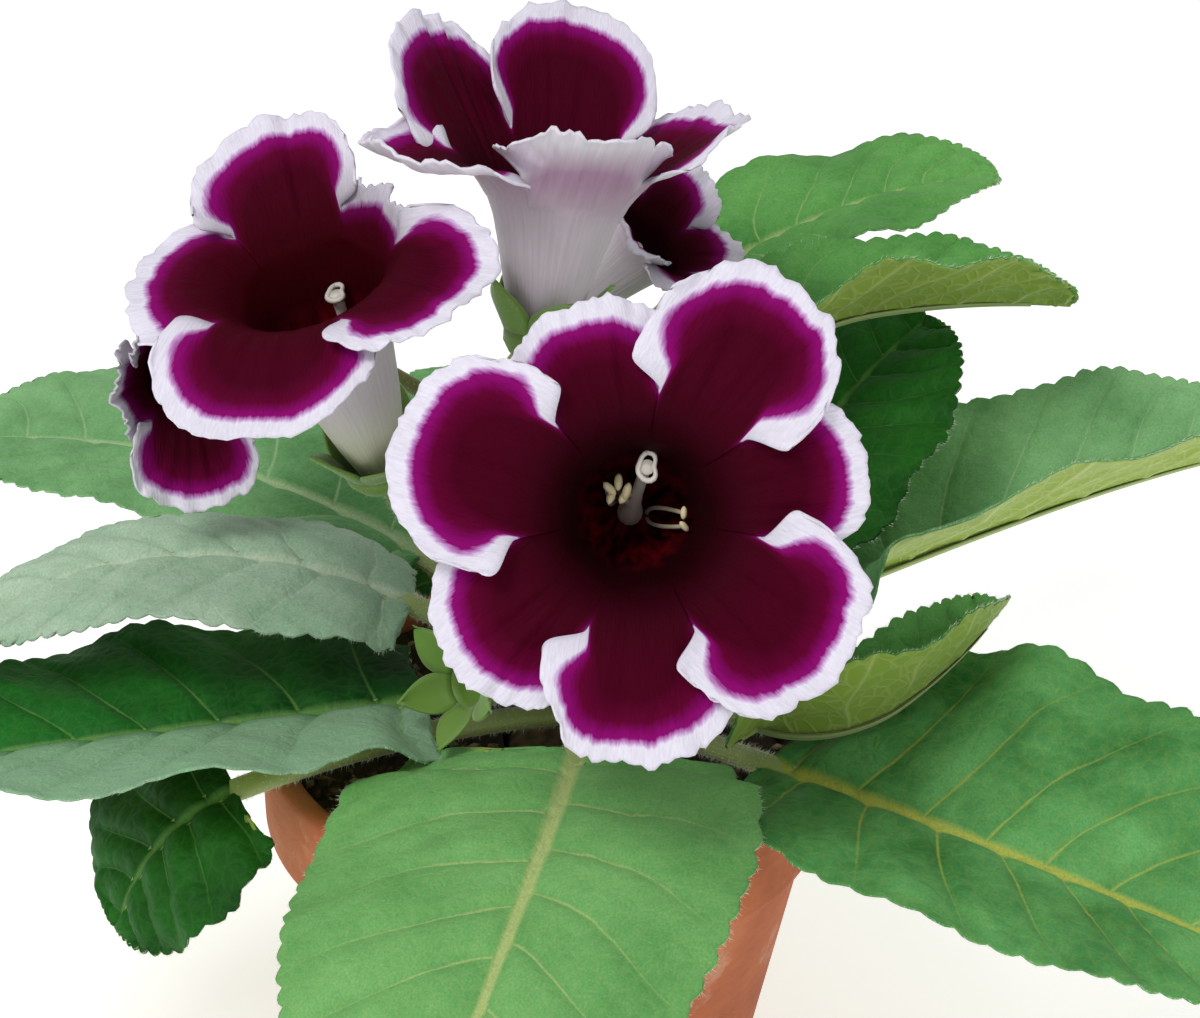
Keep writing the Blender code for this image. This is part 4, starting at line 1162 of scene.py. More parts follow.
    def swell(self, t: Array) -> Array:
        """How far a lobe's free sides stand out: most before the margin, so that its corners are round."""
        return np.sin(0.68 * math.pi * np.clip((t - self.NOTCH) / (1.0 - self.NOTCH), 0.0, 1.0) ** 1.2)

    def reach_at(self, k: int, a: Array) -> Array:
        """How far a lobe reaches. Neighbours agree where they join.

        Args:
            k: which lobe.
            a: -1 to 1 across.

        Returns:
            Distances from the ring of notches, mm.
        """
        before, after = (self.lobes[n].reach for n in self.beside[k])
        other = np.where(a < 0, before, after) - self.lobes[k].reach
        return self.lobes[k].reach * (1.0 - 0.45 * np.abs(a) ** 2.6) + 0.55 * 0.5 * other * np.abs(a) ** 3

    def profile(self, k: int, along: Array) -> tuple[Array, Array, Array]:
        """A lobe's section: radius, height and lean at a distance out from the ring.

        Args:
            k: which lobe.
            along: mm from the ring of notches.

        Returns:
            Radius, height along the axis, and lean in radians.
        """
        lobe = self.lobes[k]
        s = np.linspace(0.0, self.LONGEST, self.STEPS)
        lean = self.FLARE + (lobe.opening - self.FLARE) * smooth(s / 15.0)
        lean = np.radians(lean + lobe.curl * smooth((s / lobe.reach - 0.6) / 0.4))
        step = s[1] - s[0]
        middle = 0.5 * (lean[1:] + lean[:-1])
        r_line = self.ring + np.concatenate([[0.0], np.cumsum(np.sin(middle) * step)])
        z_line = np.concatenate([[0.0], np.cumsum(np.cos(middle) * step)])
        return tuple(np.interp(along, s, line) for line in (r_line, z_line, lean))

    def petal_values(self, k: int, t: Array, a: Array) -> Array:
        """What the petal finishes read.

        Args:
            k: which lobe.
            t: 0 at the ring of notches, 1 at the margin.
            a: -1 to 1 across.

        Returns:
            Distance from the pale band in mm, negative in it, then mm across and mm out from the ring.
        """
        lobe = self.lobes[k]
        back, ahead = self.shares[k]
        share = np.radians(np.where(a < 0, back, ahead) + lobe.spread * self.swell(t))
        reach = self.reach_at(k, a)
        tip = (1.0 - t) * reach
        below = np.maximum(self.NOTCH + 0.04 - t, 0.0) * reach
        side = np.hypot((1.0 - np.abs(a)) * share * (self.ring + t * reach), below)
        thin = 0.35 + 0.65 * smooth((t - self.NOTCH) / 0.3)
        edge = 1.0 / (1.0 / (tip + 0.02) ** 4 + (thin / (side + 0.02)) ** 4) ** 0.25
        across = np.radians(lobe.angle) * 22 + a * share * (self.ring + 0.6 * t * reach)
        band = self.band * (1.0 + 0.22 * ripple_noise(1.1 * a + k, self.seed + 11 * k, 1))
        return np.stack([edge - band, across + 40 * self.seed, t * reach], axis=-1)

    def corolla(self) -> Shape:
        """The corolla's middle surface: tube, floor and lobes.

        Returns:
            The surface, with the value "petal" that the petal finishes read.
        """
        columns = np.linspace(-1.0, 1.0, self.COLUMNS + 1)
        ring_angles = []
        for k in self.order:
            back, ahead = self.shares[k]
            widths = np.where(columns < 0, back, ahead)
            ring_angles.append(np.radians(self.lobes[k].angle + columns[:-1] * widths[:-1]))
        angles = np.concatenate(ring_angles)
        n = len(angles)
        share, angle = np.meshgrid(np.linspace(0, 1, self.TUBE_ROWS), angles, indexing="ij")
        points = [self.tube_at(share, angle).reshape(-1, 3)]
        depth = (share - 1.0) * self.tube
        values = [np.stack([0 * share + 20.0, angle * 22 + 40 * self.seed, depth], axis=-1).reshape(-1, 3)]
        faces = [f[::-1] for f in quads(self.TUBE_ROWS, n, closed=True)]
        ring_base = (self.TUBE_ROWS - 1) * n
        used = self.TUBE_ROWS * n
        points.append((self.centre - self.axis * self.tube)[None])
        values.append(np.array([[20.0, 0.0, -self.tube]]))
        faces += [(used, (k + 1) % n, k) for k in range(n)]
        used += 1
        rows = np.linspace(0, 1, self.LOBE_ROWS) ** 0.9
        width = self.COLUMNS + 1
        for place, k in enumerate(self.order):
            first = [ring_base + (place * self.COLUMNS + c) % n for c in range(width)]
            t, a = np.meshgrid(rows[1:], columns, indexing="ij")
            points.append(self.lobe_at(k, t, a).reshape(-1, 3))
            values.append(self.petal_values(k, t, a).reshape(-1, 3))
            grid = [first] + [[used + r * width + c for c in range(width)] for r in range(len(rows) - 1)]
            used += (len(rows) - 1) * width
            for low, high in zip(grid[:-1], grid[1:]):
                faces += [(low[c], low[c + 1], high[c + 1], high[c]) for c in range(width - 1)]
        return Shape(np.vstack(points), [f[::-1] for f in faces], {"petal": np.vstack(values)})

    def stem_line(self) -> tuple[Array, Array]:
        """The stalk's curve and the seat of the calyx.

        Returns:
            Points of the curve, and the seat.
        """
        foot = math.radians(self.foot)
        start = self.STEM_FEET * np.array([math.cos(foot), math.sin(foot), 0.0])
        start[2] = CROWN_TOP + 0.3
        seat = self.centre - self.axis * (self.tube + self.SEAT)
        end = seat - self.axis * self.CUP_DEPTH
        span = np.linalg.norm(end - start)
        first = start + span * self.pull[0] * np.array([0.0, 0.0, 1.0])
        return bezier(start, first, end - span * self.pull[1] * self.axis, end, self.STEM_STEPS), seat

    def stalk(self) -> Shape:
        """The flower stalk, a little thicker at both ends.

        Returns:
            One closed tube.
        """
        at, _ = self.stem_line()
        right, up = carried(at, np.array([1.0, 0.2, 0.0]))
        t = np.linspace(0, 1, len(at))
        radii = self.STEM_RADIUS * (0.86 + 0.14 * np.abs(2 * t - 1) ** 3)
        return swept(at, right, up, round_profile(radii, self.STEM_SIDES))

    def calyx(self) -> Shape:
        """The green cup under the tube and its five pointed sepals.

        Returns:
            Cup and sepals, as sheets.
        """
        _, seat = self.stem_line()
        inner = 0.42 * self.ring + self.SEAT
        profile = (
            (1.6, -5.0), (2.2, -4.2), (0.6 * inner, -3.0), (0.9 * inner, -1.4), (inner + 0.7, 0.8),
            (inner + 0.8, self.CUP_RIM),
        )
        angles = circle(self.CUP_SIDES)
        ring = np.cos(angles)[:, None] * self.right + np.sin(angles)[:, None] * self.up
        rings = [seat + self.axis * z + ring * r for r, z in profile]
        cup = Shape(np.vstack(rings), [f[::-1] for f in quads(len(profile), self.CUP_SIDES, closed=True)])
        cup.values["along"] = np.repeat([[0.6, 0, 0]], len(cup.points), axis=0)
        length, lean = self.sepal
        for sepal in range(self.SEPALS):
            middle = 2 * math.pi * sepal / self.SEPALS
            grid = np.linspace(0, 1, self.SEPAL_ROWS), np.linspace(-1, 1, self.SEPAL_COLUMNS)
            t, a = np.meshgrid(*grid, indexing="ij")
            half = (math.pi / self.SEPALS) * 0.98 * (1 - t**1.6) * (1 + 0.25 * np.sin(math.pi * t))
            angle = middle + a * half
            turn = math.radians(lean) + 0.35 * t * math.sin(sepal * 2.1)
            out, along = t * length * np.sin(turn), t * length * np.cos(turn)
            radius = inner + 0.75 + out - 0.6 * np.abs(a) * t
            side = np.cos(angle)[..., None] * self.right + np.sin(angle)[..., None] * self.up
            points = seat + self.axis * (self.CUP_RIM + along)[..., None] + side * radius[..., None]
            faces = [f[::-1] for f in quads(self.SEPAL_ROWS, self.SEPAL_COLUMNS)]
            blade = Shape(points.reshape(-1, 3), faces)
            blade.values["along"] = np.stack([0.6 + 0.4 * t, 0 * t, 0 * t], axis=-1).reshape(-1, 3)
            cup = cup.joined(blade)
        return cup

    def pistil(self) -> Shape:
        """Ovary, style and two-lipped stigma.

        Returns:
            The pistil.
        """
        foot = self.centre - self.axis * (self.tube - self.SEAT)
        lean = 0.75 * self.ring - 2.2
        top = self.centre - self.axis * 0.18 * self.tube + self.up * lean + self.right * 0.2 * lean
        at = bezier(foot, foot + self.axis * 12, top - self.axis * 14, top, self.PISTIL_STEPS)
        right, up = carried(at, self.right)
        radii = np.interp(np.linspace(0, 1, self.PISTIL_STEPS), *self.PISTIL) * self.ring / 12
        body = swept(at, right, up, round_profile(radii, 14))
        # The stigma is a small ring of two lips, open towards the mouth.
        turn = circle(self.STIGMA_STEPS)
        lobed = 1.0 + 0.3 * np.cos(2 * turn) + 0.12 * np.sin(3 * turn + 0.6)
        lobed = (2.1 * self.ring / 15 * lobed)[:, None]
        ring = at[-1] + lobed * (np.cos(turn)[:, None] * self.up + np.sin(turn)[:, None] * self.right)
        ring = np.vstack([ring, ring[:1]])
        out, ahead = unit(ring - at[-1]), np.repeat(self.axis[None], len(ring), axis=0)
        lips = swept(ring, out, ahead, round_profile(np.full(len(ring), 0.55), 8))
        lips.values["along"][:, 0] = 1.0
        return body.joined(lips)

    def hairs(self, shape: Shape, per_face: int, length: float) -> Shape:
        """Hairs over a closed or open shape.

        Args:
            shape: where they grow.
            per_face: how many grow on each four-sided face.
            length: of one hair, mm.

        Returns:
            The hairs.
        """
        rng = np.random.default_rng(self.seed + 300)
        faces = np.array([f for f in shape.faces if len(f) == 4])
        corners = shape.points[faces]
        normal = unit(np.cross(corners[:, 1] - corners[:, 0], corners[:, 3] - corners[:, 0]))
        roots, out = [], []
        for _ in range(per_face):
            u, v = rng.uniform(0, 1, (2, len(faces), 1))
            low = corners[:, 0] * (1 - u) + corners[:, 1] * u
            high = corners[:, 3] * (1 - u) + corners[:, 2] * u
            roots.append(low * (1 - v) + high * v)
            out.append(normal)
        return Hairs(length).over(np.vstack(roots), np.vstack(out), self.seed + 7)

    def build(self, finishes: dict[str, bpy.types.Material]) -> list[bpy.types.Object]:
        """Makes the bloom's pieces and puts them in place of its solids.

        Args:
            finishes: "inside", "outside", "stalk", "calyx", "pistil" and "hair".

        Returns:
            The new objects.
        """
        made = []
        if self.lobes:
            inside = finishes["inside_lit" if self.lit else "inside"]
            corolla = self.corolla().made(f"corolla_{self.name}_petals", [inside, finishes["outside"]])
            thicken(corolla, self.PETAL, 1)
            pistil = self.pistil().made(f"pistil_{self.name}_parts", [finishes["pistil"]])
            made += [(corolla, f"corolla_{self.name}", "petal"), (pistil, f"pistil_{self.name}", "cream")]
        stalk, calyx = self.stalk(), self.calyx()
        bar = stalk.made(f"stem_{self.name}_stalk", [finishes["stalk"]])
        cup = calyx.made(f"stem_{self.name}_calyx", [finishes["calyx"]])
        thicken(cup, self.SEPAL)
        fuzz = self.hairs(stalk, 4, 1.2).joined(self.hairs(calyx, 3, 0.9))
        down = fuzz.made(f"stem_{self.name}_hairs", [finishes["hair"]])
        made += [(piece, f"stem_{self.name}", "stem") for piece in (bar, cup, down)]
        return stand_in(made)


@dataclass(frozen=True)
class Stamens:
    """A bundle of filaments in the front bloom, with the anthers that they end in. Lengths in mm."""

    node: str
    angle: float  # where it stands around the bloom's axis, degrees
    reach: float
    depth: float
    anthers: int
    size: float

    STEPS, POD_STEPS = 24, 9
    FOOT = 3.6  # distance of the filaments' feet from the axis
    THREAD = 0.42  # radius of a filament

    def build(self, bloom: Bloom, finish: bpy.types.Material) -> bpy.types.Object:
        """Makes the bundle.

        Args:
            bloom: the bloom that it stands in.
            finish: its material.

        Returns:
            The new object.
        """
        turn = math.radians(self.angle)
        side = math.cos(turn) * bloom.right + math.sin(turn) * bloom.up
        foot = bloom.centre - bloom.axis * (bloom.tube - bloom.SEAT) + side * self.FOOT
        top = bloom.centre - bloom.axis * self.depth + side * self.reach
        whole = None
        for k in range(self.anthers):
            spread = 2 * math.pi * k / self.anthers + 0.5 * math.pi + 0.3 * math.sin(2.7 * k)
            shift = self.size * (math.cos(spread) * bloom.right + math.sin(spread) * bloom.up)
            shift = shift + 0.8 * math.sin(1.9 * k) * bloom.axis
            low, high = foot + bloom.axis * 9 + 2.2 * shift, top - bloom.axis * 7 + shift
            at = bezier(foot + 0.4 * shift, low, high, top + shift, self.STEPS)
            right, up = carried(at, bloom.right)
            thread = swept(at, right, up, round_profile(np.full(self.STEPS, self.THREAD), 8))
            way = unit(bloom.up + 0.7 * math.sin(4.1 * k) * bloom.right + 0.4 * shift)
            pod_at = top + shift + np.linspace(-1.0, 1.0, self.POD_STEPS)[:, None] * self.size * way
            right, up = carried(pod_at, bloom.right)
            share = np.linspace(-0.98, 0.98, self.POD_STEPS)
            bulge = self.size * 0.5 * np.sqrt(np.maximum(1 - share**2, 0.02))
            pod = swept(pod_at, right, up, round_profile(bulge, 10))
            pod.values["along"][:, 0] = 1.0
            piece = thread.joined(pod)
            whole = piece if whole is None else whole.joined(piece)
        return stand_in([(whole.made(self.node + "_parts", [finish]), self.node, "cream")])[0]


@dataclass(frozen=True)
class Pot:
    """The clay pot, its soil and the tuber in it. Lengths in mm, heights above the pot's underside."""

    height: float = 107.0
    rim: float = 62.0
    foot: float = 42.0
    band: float = 22.0
    step: float = 3.0
    wall: float = 4.5
    floor: float = 6.0
    soil_edge: float = 101.0
    soil_top: float = 102.0
    hole: float = 21.3  # radius of the soil's opening for the tuber
    gap: float = 0.6  # between the soil and the wall

    SIDES, SOIL_SIDES, SOIL_RINGS, TUBER_SIDES = 144, 180, 36, 72
    ROUGHNESS = 0.55  # unevenness of the soil's surface
    CRUMBS = 900

    def inside(self, z: float) -> float:
        """Radius of the inner wall at a height.

        Args:
            z: the height.

        Returns:
            The radius.
        """
        slope = (self.rim - self.step - self.foot) / (self.height - self.band)
        low = self.foot + slope * self.floor - self.wall
        high = self.rim - self.wall - 1.0
        return low + (high - low) * (z - self.floor) / (self.height - 1.2 - self.floor)

    def body(self) -> Shape:
        """The pot with rounded edges.

        Returns:
            The pot.
        """
        top, rim, foot = self.height, self.rim, self.foot
        slope = (rim - self.step - foot) / (top - self.band)
        low = top - self.band
        inner = self.inside(top)
        profile = [(0, 0), (foot - 6, 0.0), (foot - 1.5, 0.0), (foot - 0.3, 0.5), (foot, 1.6)]
        profile += [(foot + slope * z, z) for z in np.linspace(6, low - 1.0, 14)]
        profile += [(foot + slope * low + 0.4, low - 0.1), (rim - 1.2, low), (rim - 0.2, low + 0.7)]
        profile += [(rim, low + 2), (rim, low + 10), (rim, top - 2.2), (rim - 0.4, top - 0.7)]
        profile += [(rim - 1.6, top), (inner + 1.4, top), (inner + 0.2, top - 0.8), (inner - 0.1, top - 2.6)]
        profile += [(self.inside(z), z) for z in np.linspace(top - 8, self.floor, 10)] + [(0, self.floor)]
        return turned(np.array(profile, dtype=float), self.SIDES)

    def soil(self) -> Shape:
        """The soil's crumbly surface and its sides.

        Returns:
            The soil and its crumbs.
        """
        rng = np.random.default_rng(7)
        sides, outer = self.SOIL_SIDES, self.inside(self.soil_edge) - self.gap
        angles = circle(sides)
        rings = []
        for radius, z in ((self.inside(12.0) - self.gap, 8.0), (self.inside(60.0) - self.gap, 60.0)):
            rings.append(np.stack([radius * np.cos(angles), radius * np.sin(angles), 0 * angles + z], axis=1))
        for share in np.linspace(1.0, 0.0, self.SOIL_RINGS):
            radius = self.hole + share * (outer - self.hole)
            rough = rng.normal(0, self.ROUGHNESS, sides) * (0.3 if share in (0.0, 1.0) else 1.0)
            z = self.soil_top - (self.soil_top - self.soil_edge) * share + rough - 0.3
            x = CROWN[0] * (1 - share) + radius * np.cos(angles)
            rings.append(np.stack([x, radius * np.sin(angles), z], axis=1))
        shape = Shape(np.vstack(rings), [f[::-1] for f in quads(len(rings), sides, closed=True)])
        shape.values["crumb"] = np.repeat([[0.12, 0, 0]], len(shape.points), axis=0)
        return shape.joined(self.crumbs(rng, self.CRUMBS, outer))

    def crumbs(self, rng: np.random.Generator, count: int, outer: float) -> Shape:
        """Loose bits of bark and peat on the soil.

        Args:
            rng: the random source.
            count: how many.
            outer: radius of the soil's edge.

        Returns:
            The crumbs, each an uneven eight-sided lump.
        """
        corners = np.array([[1, 0, 0], [-1, 0, 0], [0, 1, 0], [0, -1, 0], [0, 0, 1], [0, 0, -1]], dtype=float)
        eight = [(0, 2, 4), (2, 1, 4), (1, 3, 4), (3, 0, 4), (2, 0, 5), (1, 2, 5), (3, 1, 5), (0, 3, 5)]
        points, faces, tint = [], [], []
        for _ in range(count):
            r, turn = outer * math.sqrt(rng.uniform(0.0, 0.94)), rng.uniform(0, 2 * math.pi)
            at = np.array([r * math.cos(turn), r * math.sin(turn), self.soil_top - 0.6])
            if np.hypot(at[0] - CROWN[0], at[1]) < self.hole + 1.2:
                continue
            size = rng.uniform(0.5, 1.9) * np.array([1.5, rng.uniform(0.6, 1.0), 0.6])
            spin = rng.uniform(0, 2 * math.pi)
            c, d = math.cos(spin), math.sin(spin)
            turn_by = np.array([[c, -d, 0], [d, c, 0], [0, 0, 1]])
            faces += [tuple(len(points) * 6 + m for m in f) for f in eight]
            points.append((corners * size * rng.uniform(0.7, 1.2, (6, 1))) @ turn_by.T + at)
            tint.append(np.repeat([[rng.uniform(0.0, 0.7), 0, 0]], 6, axis=0))
        return Shape(np.vstack(points), faces, {"crumb": np.vstack(tint)})

    def tuber(self) -> Shape:
        """The corky tuber and the short crown on it.

        Returns:
            The tuber.
        """
        low = CROWN[2]
        rings = [(0, low - 24), (12, low - 22), (17, low - 17.5), (20, low - 13), (21, low - 6)]
        rings += [(19.6, low - 4), (17, low - 2.5), (10.5, low - 1.0), (8.7, low - 0.2), (8.5, low + 0.6)]
        rings += [(8.45, low + z) for z in np.linspace(3, CROWN_TOP - 1.5, 8)]
        rings += [(7.9, low + CROWN_TOP - 0.5), (6.6, low + CROWN_TOP), (0, low + CROWN_TOP)]
        return turned(np.array(rings, dtype=float), self.TUBER_SIDES, (CROWN[0], CROWN[1]))

    def build(self) -> list[bpy.types.Object]:
        """Makes pot, soil and tuber and puts them in place of their solids.

        Returns:
            The new objects.
        """
        nowhere = np.zeros(3)
        clay = self.body().made("pot_body", [FiredClay().made()], nowhere)
        soil = self.soil().made("soil_filling", [Peat().made()], nowhere)
        cork = Plain("tuber_cork", "#6b5238", "#3a2c1c", 0.85, 2.4, 0.6).made()
        tuber = self.tuber().made("tuber_body", [cork], nowhere)
        return stand_in([(clay, "pot", "clay"), (soil, "soil", "soil"), (tuber, "tuber_crown", "tuber")])


# Blade towards the tip, blade near the stalk (darker as painted shade), veins, sheen, and how much the left
# half is paled by painted light. The sunny and shaded rows are painted lit and shaded copies of the green.
GREENS = {
    Light.SUNNY: ("#7dba6c", "#5a9a50", "#bdca82"),
    Light.DEEP: ("#6cb266", "#1a6422", "#b8bc50"),
    Light.SHADED: ("#1f6818", "#083a09", "#5f8f45", 0.04),
    Light.HALF_LIT: ("#1d7022", "#043408", "#6f9c50", 0.04, 0.6),
    Light.FRESH: ("#6aae58", "#3f8238", "#a9c07c", 0.06),
    Light.GREY: ("#86bd7e", "#4f8a4c", "#aec896", 0.08),
    Light.FROSTED: ("#b4cdb2", "#84a988", "#c2d2b8", 0.25),
    Light.YOUNG: ("#62a852", "#40803a", "#a6bc70"),
}


@dataclass
class Plant:
    """All leaves and blooms."""

    leaves: tuple[Leaf, ...]
    blooms: tuple[Bloom, ...]
    stamens: tuple[Stamens, ...]

    def finishes(self) -> dict[str, bpy.types.Material]:
        """The finishes that the blooms and stalks share.

        Returns:
            Each finish by its use.
        """
        return {
            "inside": PetalInside("petal_velvet").made(),
            # A lit copy of the velvet: its brighter throat and glow are painted light coming through the
            # tube's wall.
            "inside_lit": PetalInside("petal_velvet_lit", throat="#3c030c", glow="#c0142c").made(),
            "outside": PetalOutside("petal_back").made(),
            "stalk": Stalk("flower_stalk", "#5f5a24", "#7d8a3a").made(),
            "calyx": Stalk("calyx_green", "#637f30", "#6f9a36").made(),
            "pistil": Stalk("pistil_flesh", "#e2d2c4", "#ddd6cc").made(),
            "anther": Stalk("anther_cream", "#c2b09a", "#e8d8a8").made(),
            "leaf_stalk": Stalk("leaf_stalk_green", "#8a9a52", "#9bb068").made(),
            "hair": Plain("white_hair", "#e9ecdf", "#d9dccb", 0.6).made(),
        }

    def leaf_tops(self) -> dict[Light, bpy.types.Material]:
        """The upper side of the leaves, by how each one reads."""
        return {light: LeafVelvet("leaf_velvet_" + light.value, *row).made() for light, row in GREENS.items()}

    def build(self) -> list[bpy.types.Object]:
        """Makes every leaf and bloom.

        Returns:
            The new objects.
        """
        shared, tops = self.finishes(), self.leaf_tops()
        under = LeafUnderside("leaf_underside", "#8fab42", "#b9c878").made()
        pieces = []
        for leaf in self.leaves:
            looks = {"top": tops[leaf.light], "under": under}
            pieces += leaf.build(looks | {"stalk": shared["leaf_stalk"], "hair": shared["hair"]})
        for bloom in self.blooms:
            pieces += bloom.build(shared)
        return pieces + [bundle.build(self.blooms[0], shared["anther"]) for bundle in self.stamens]


@dataclass(frozen=True)
class Studio:
    """A pale floor, soft light and the photograph's viewpoint. Lengths in mm."""

    target: tuple[float, float, float] = (12.0, 0.0, 159.0)
    distance: float = 620.0
    elevation: float = 30.0
    span: float = 252.0  # width of the view at the target
    sensor: float = 36.0
    floor: float = 4.0  # half its side, metres
    sky: float = 0.5  # strength of the even light from all round

    LAMPS = (  # name, place in metres, side in metres, watts
        ("key", (-0.6, -0.6, 1.3), 0.5, 9.0),
        ("fill", (0.9, -0.8, 0.7), 0.9, 2.0),
    )

    def camera(self) -> bpy.types.Object:
        """Sets up the camera in front of the plant, looking down on it.

        Returns:
            The camera.
        """
        lens = bpy.data.cameras.new("camera")
        lens.sensor_fit, lens.sensor_width = "HORIZONTAL", self.sensor
        lens.lens = self.sensor * self.distance / self.span
        lens.clip_start, lens.clip_end = 0.01, 50.0
        eye = linked("camera", lens)
        tilt = math.radians(self.elevation)
        x, y, z = self.target
        back, over = self.distance * math.cos(tilt), self.distance * math.sin(tilt)
        eye.location = (x * MM, (y - back) * MM, (z + over) * MM)
        eye.rotation_euler = (math.radians(90.0) - tilt, 0.0, 0.0)
        bpy.context.scene.camera = eye
        return eye

    def lamp(
        self, name: str, place: tuple[float, float, float], size: float, power: float
    ) -> bpy.types.Object:
        """One square soft light aimed at the plant.

        Args:
            name: of the light.
            place: where it is, metres.
            size: of its side, metres.
            power: watts.

        Returns:
            The light.
        """
        data = bpy.data.lights.new(name, "AREA")
        data.size, data.energy = size, power
        obj = linked(name, data)
        obj.location = place
        aim = np.array(self.target) * MM - np.array(place)
        flat = math.hypot(aim[0], aim[1])
        obj.rotation_euler = (math.atan2(flat, -aim[2]), 0.0, math.atan2(-aim[0], aim[1]))
        return obj

    def build(self) -> None:
        """Makes the floor, the lights and the camera."""
        mesh = bpy.data.meshes.new("floor")
        r = self.floor
        mesh.from_pydata([(-r, -r, 0), (r, -r, 0), (r, r, 0), (-r, r, 0)], [], [(0, 1, 2, 3)])
        mesh.materials.append(Painted("pale_floor").made())
        floor = linked("floor", mesh)
        world = bpy.data.worlds.new("studio")
        world.use_nodes = True
        tree = world.node_tree
        feed(tree, tree.nodes["Background"], {"Color": "#ffffff", "Strength": self.sky})
        bpy.context.scene.world = world
        bpy.context.scene.view_settings.view_transform = "Standard"
        for lamp in self.LAMPS:
            self.lamp(*lamp)
        self.camera()


LEAVES = (
    Leaf(
        "leaf_front", Light.SUNNY, (262, 262, 255, 248), 10, 26, 116, 98, (22, 8, -8, -34), (0, 0),
        (12, 6), (-24, -32), (2.2, 2.2, 40), 18, 0.72, (0.8, 0.93), seed=1,
    ),
    Leaf(
        "leaf_front_right", Light.DEEP, (-40, -40, -32, -24), 6, 37, 120, 100, (8, 6, -3, -12), (4, 12),
        (17, 18), (-10, -12), (3.0, 3.2, 0), 4, 0.76, (0.94, 0.6), seed=2,
    ),
    Leaf(
        "leaf_curled_right", Light.YOUNG, (-26, -44, 26, 50), 13.5, 33, 62, 42, (2, 8, 24, 24), (6, 8),
        (16, 66), (-8, 12), (1.4, 3.0, 0), 2, 0.9, (0.7, 1.0), pairs=6, teeth=20, seed=3,
    ),
    Leaf(
        "leaf_right", Light.GREY, (28, 26, 18, 15), 14.5, 44, 118, 64, (4, 8, 11, 4), (0, 0), (28, 43),
        (-8, 4), (1.6, 2.6, 60), 2, 0.95, seed=4,
    ),
    Leaf(
        "leaf_upper_right", Light.FRESH, (63, 46, 14, 6), 15, 56, 92, 52, (76, 34, 2, -8), (0, 0), (28, 44),
        (-6, 6), (1.4, 3.0, 0), 4, 0.95, (0.74, 1.0), teeth=30, seed=5,
    ),
    Leaf(
        "leaf_back_right", Light.FRESH, (99, 56, 14, 4), 15, 110, 88, 54, (38, 5, 18, 0), (0, 0), (12, 18),
        (-12, -16), (2.4, 2.5, 20), 4, 0.95, teeth=26, seed=6,
    ),
    # Its dark green is painted shade: this leaf lies under the leaf above it.
    Leaf(
        "leaf_dark_right", Light.SHADED, (46, 46, 42, 40), 8, 40, 70, 58, (24, 36, 34, 20), (0, 0),
        (12, 12), (-16, -16), (2.0, 2.5, 90), 5, 0.85, teeth=26, seed=7,
    ),
    Leaf(
        "leaf_front_left", Light.HALF_LIT, (196, 192, 188, 186), 12.5, 30, 128, 66, (4, 0, -3, -8), (0, 0),
        (19, 10), (-4, -10), (2.2, 3.0, 0), 8, 0.85, seed=8,
    ),
    Leaf(
        "leaf_left", Light.FROSTED, (176, 176, 178, 180), 17, 34, 112, 60, (18, 28, -8, -42), (-8, -4),
        (8, 6), (-20, -40), (2.6, 2.2, 30), 6, 0.85, (0.7, 0.5), seed=9,
    ),
    Leaf(
        "leaf_back_left", Light.GREY, (136, 141, 150, 156), 15, 44, 146, 80, (12, 8, -4, -18), (-4, -4),
        (12, 12), (-12, -16), (2.0, 2.4, 0), 6, 0.85, (0.7, 1.0), seed=10,
    ),
    Leaf(
        "leaf_low_left", Light.SHADED, (203, 203, 196, 190), 6, 74, 42, 46, (10, -10, -52, -76),
        (-12, -24), (4, 4), (-12, -12), (1.6, 2.0, 0), 6, 0.85, pairs=5, teeth=18, seed=11,
    ),
    Leaf(
        "leaf_back", Light.DEEP, (94, 96, 102, 106), 6, 42, 104, 72, (12, 14, 0, -24), (0, 0), (12, 12),
        (-16, -16), (2.4, 2.6, 0), 4, 0.85, teeth=30, seed=12,
    ),
    Leaf(
        "leaf_far_left", Light.DEEP, (129, 134, 138, 141), 10, 44, 96, 58, (2, 4, -8, -34), (0, 0),
        (10, 10), (-16, -16), (2.2, 2.4, 0), 7, 0.85, teeth=28, seed=13,
    ),
)

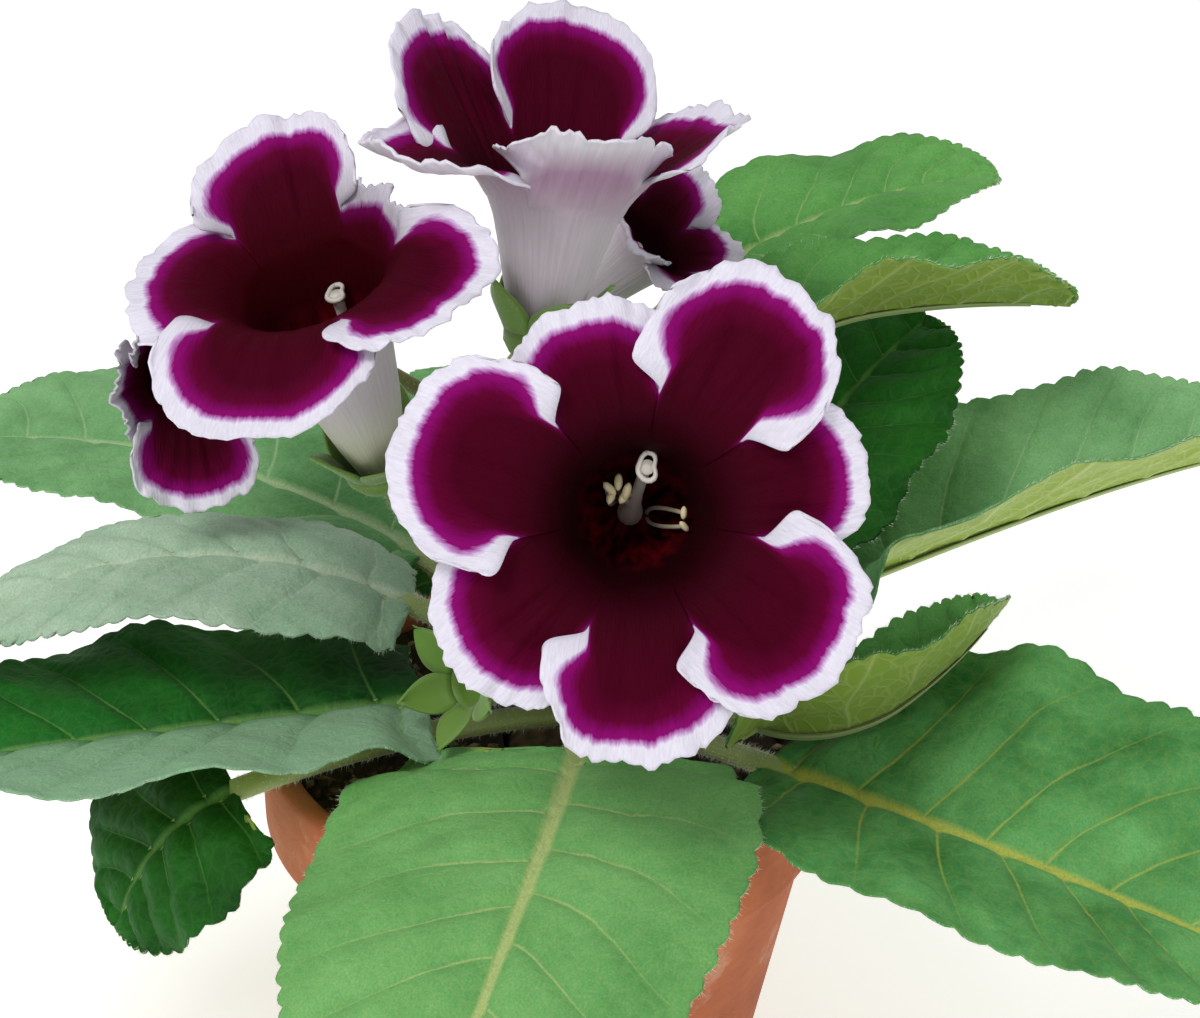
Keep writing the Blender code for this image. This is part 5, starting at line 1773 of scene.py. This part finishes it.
BLOOMS = (
    Bloom(
        "front", (7, -52, 84), (-88, 30), 38, 15,
        (
            Lobe(163, 36, 84, 8, (1, 1), 11, 1.5),
            Lobe(109, 29, 88, 0, (-1, -1), 8),
            Lobe(58, 40, 86, 0, (1, 1), 12, 1.0),
            Lobe(18, 32, 90, 6, (-1, -1), 8),
            Lobe(-34, 36, 88, 0, (1, 1), 12, 1.0),
            Lobe(-88, 35, 86, 0, (1, -1), 12),
            Lobe(-134, 33, 88, 0, (-1, -1), 8),
        ),
        325, 1.0, (0.3, 0.5), seed=1,
    ),
    Bloom(
        "left", (-57, -8, 110), (218, 72), 48, 15,
        (
            Lobe(96, 29, 58, 0, (1, 1), 12),
            Lobe(176, 24, 86, 0, (-1, -1), 10),
            Lobe(255, 34, 102, 0, (1, -1), 10),
            Lobe(-33, 31, 88, 0, (1, 1), 10),
            Lobe(38, 13, 30, 0, (-1, -1), 8),
        ),
        210, lit=True, seed=2,
    ),
    Bloom(
        "top", (-9, 11.5, 120), (68, 72), 29, 14,
        (
            Lobe(92, 45, 35, 0, (1, 1), 10),
            Lobe(144, 41, 38, 0, (-1, -1), 8),
            Lobe(212, 32, 92, -40, (1, -1), 10),
            Lobe(280, 22, 42, 0, (1, 1), 14),
            Lobe(16, 32, 52, 0, (-1, -1), 8),
        ),
        30, 1.0, (0.5, 0.2), seed=3,
    ),
    Bloom(
        "low_left", (-87, 15, 80), (280, 2), 24, 9.5,
        (
            Lobe(-10, 22, 78, 0, (1, 1), 12),
            Lobe(66, 14, 66, 0, (-1, -1), 8),
            Lobe(124, 12, 50, 0, (1, 1), 8),
            Lobe(190, 12, 40, 0, (-1, 1), 8),
            Lobe(264, 11, 28, 0, (-1, -1), 8),
        ),
        140, 0.8, (0.6, 0.1), band=3.0, seed=4,
    ),
    Bloom(
        "back", (11, 78, 80), (-20, 46), 32, 9,
        (
            Lobe(90, 18, 60, 0, (1, 1), 10),
            Lobe(162, 16, 60, 0, (-1, -1), 10),
            Lobe(234, 16, 70, 0, (1, 1), 10),
            Lobe(306, 16, 80, 0, (-1, -1), 10),
            Lobe(18, 16, 80, 0, (1, -1), 8),
        ),
        90, 0.8, band=4.0, seed=5,
    ),
    Bloom("spent", (-26, -22, 26), (220, 16), 0, 9, (), 270, 0.0, (0.5, 0.4), (12.0, 42.0), seed=6),
)

STAMENS = (
    Stamens("anthers_front", 128, 5.4, 14, 5, 1.7),
    Stamens("anther_pair_front", -4, 9.5, 10, 2, 1.3),
)


def main() -> None:
    """Builds the pot, the plant and the studio."""
    logging.basicConfig(level=logging.INFO, format="%(name)s: %(message)s")
    for assembly in (Pot(), Plant(LEAVES, BLOOMS, STAMENS)):
        for piece in assembly.build():
            LOG.info("%s", piece.name)
    Studio().build()


if __name__ == "__main__":
    main()
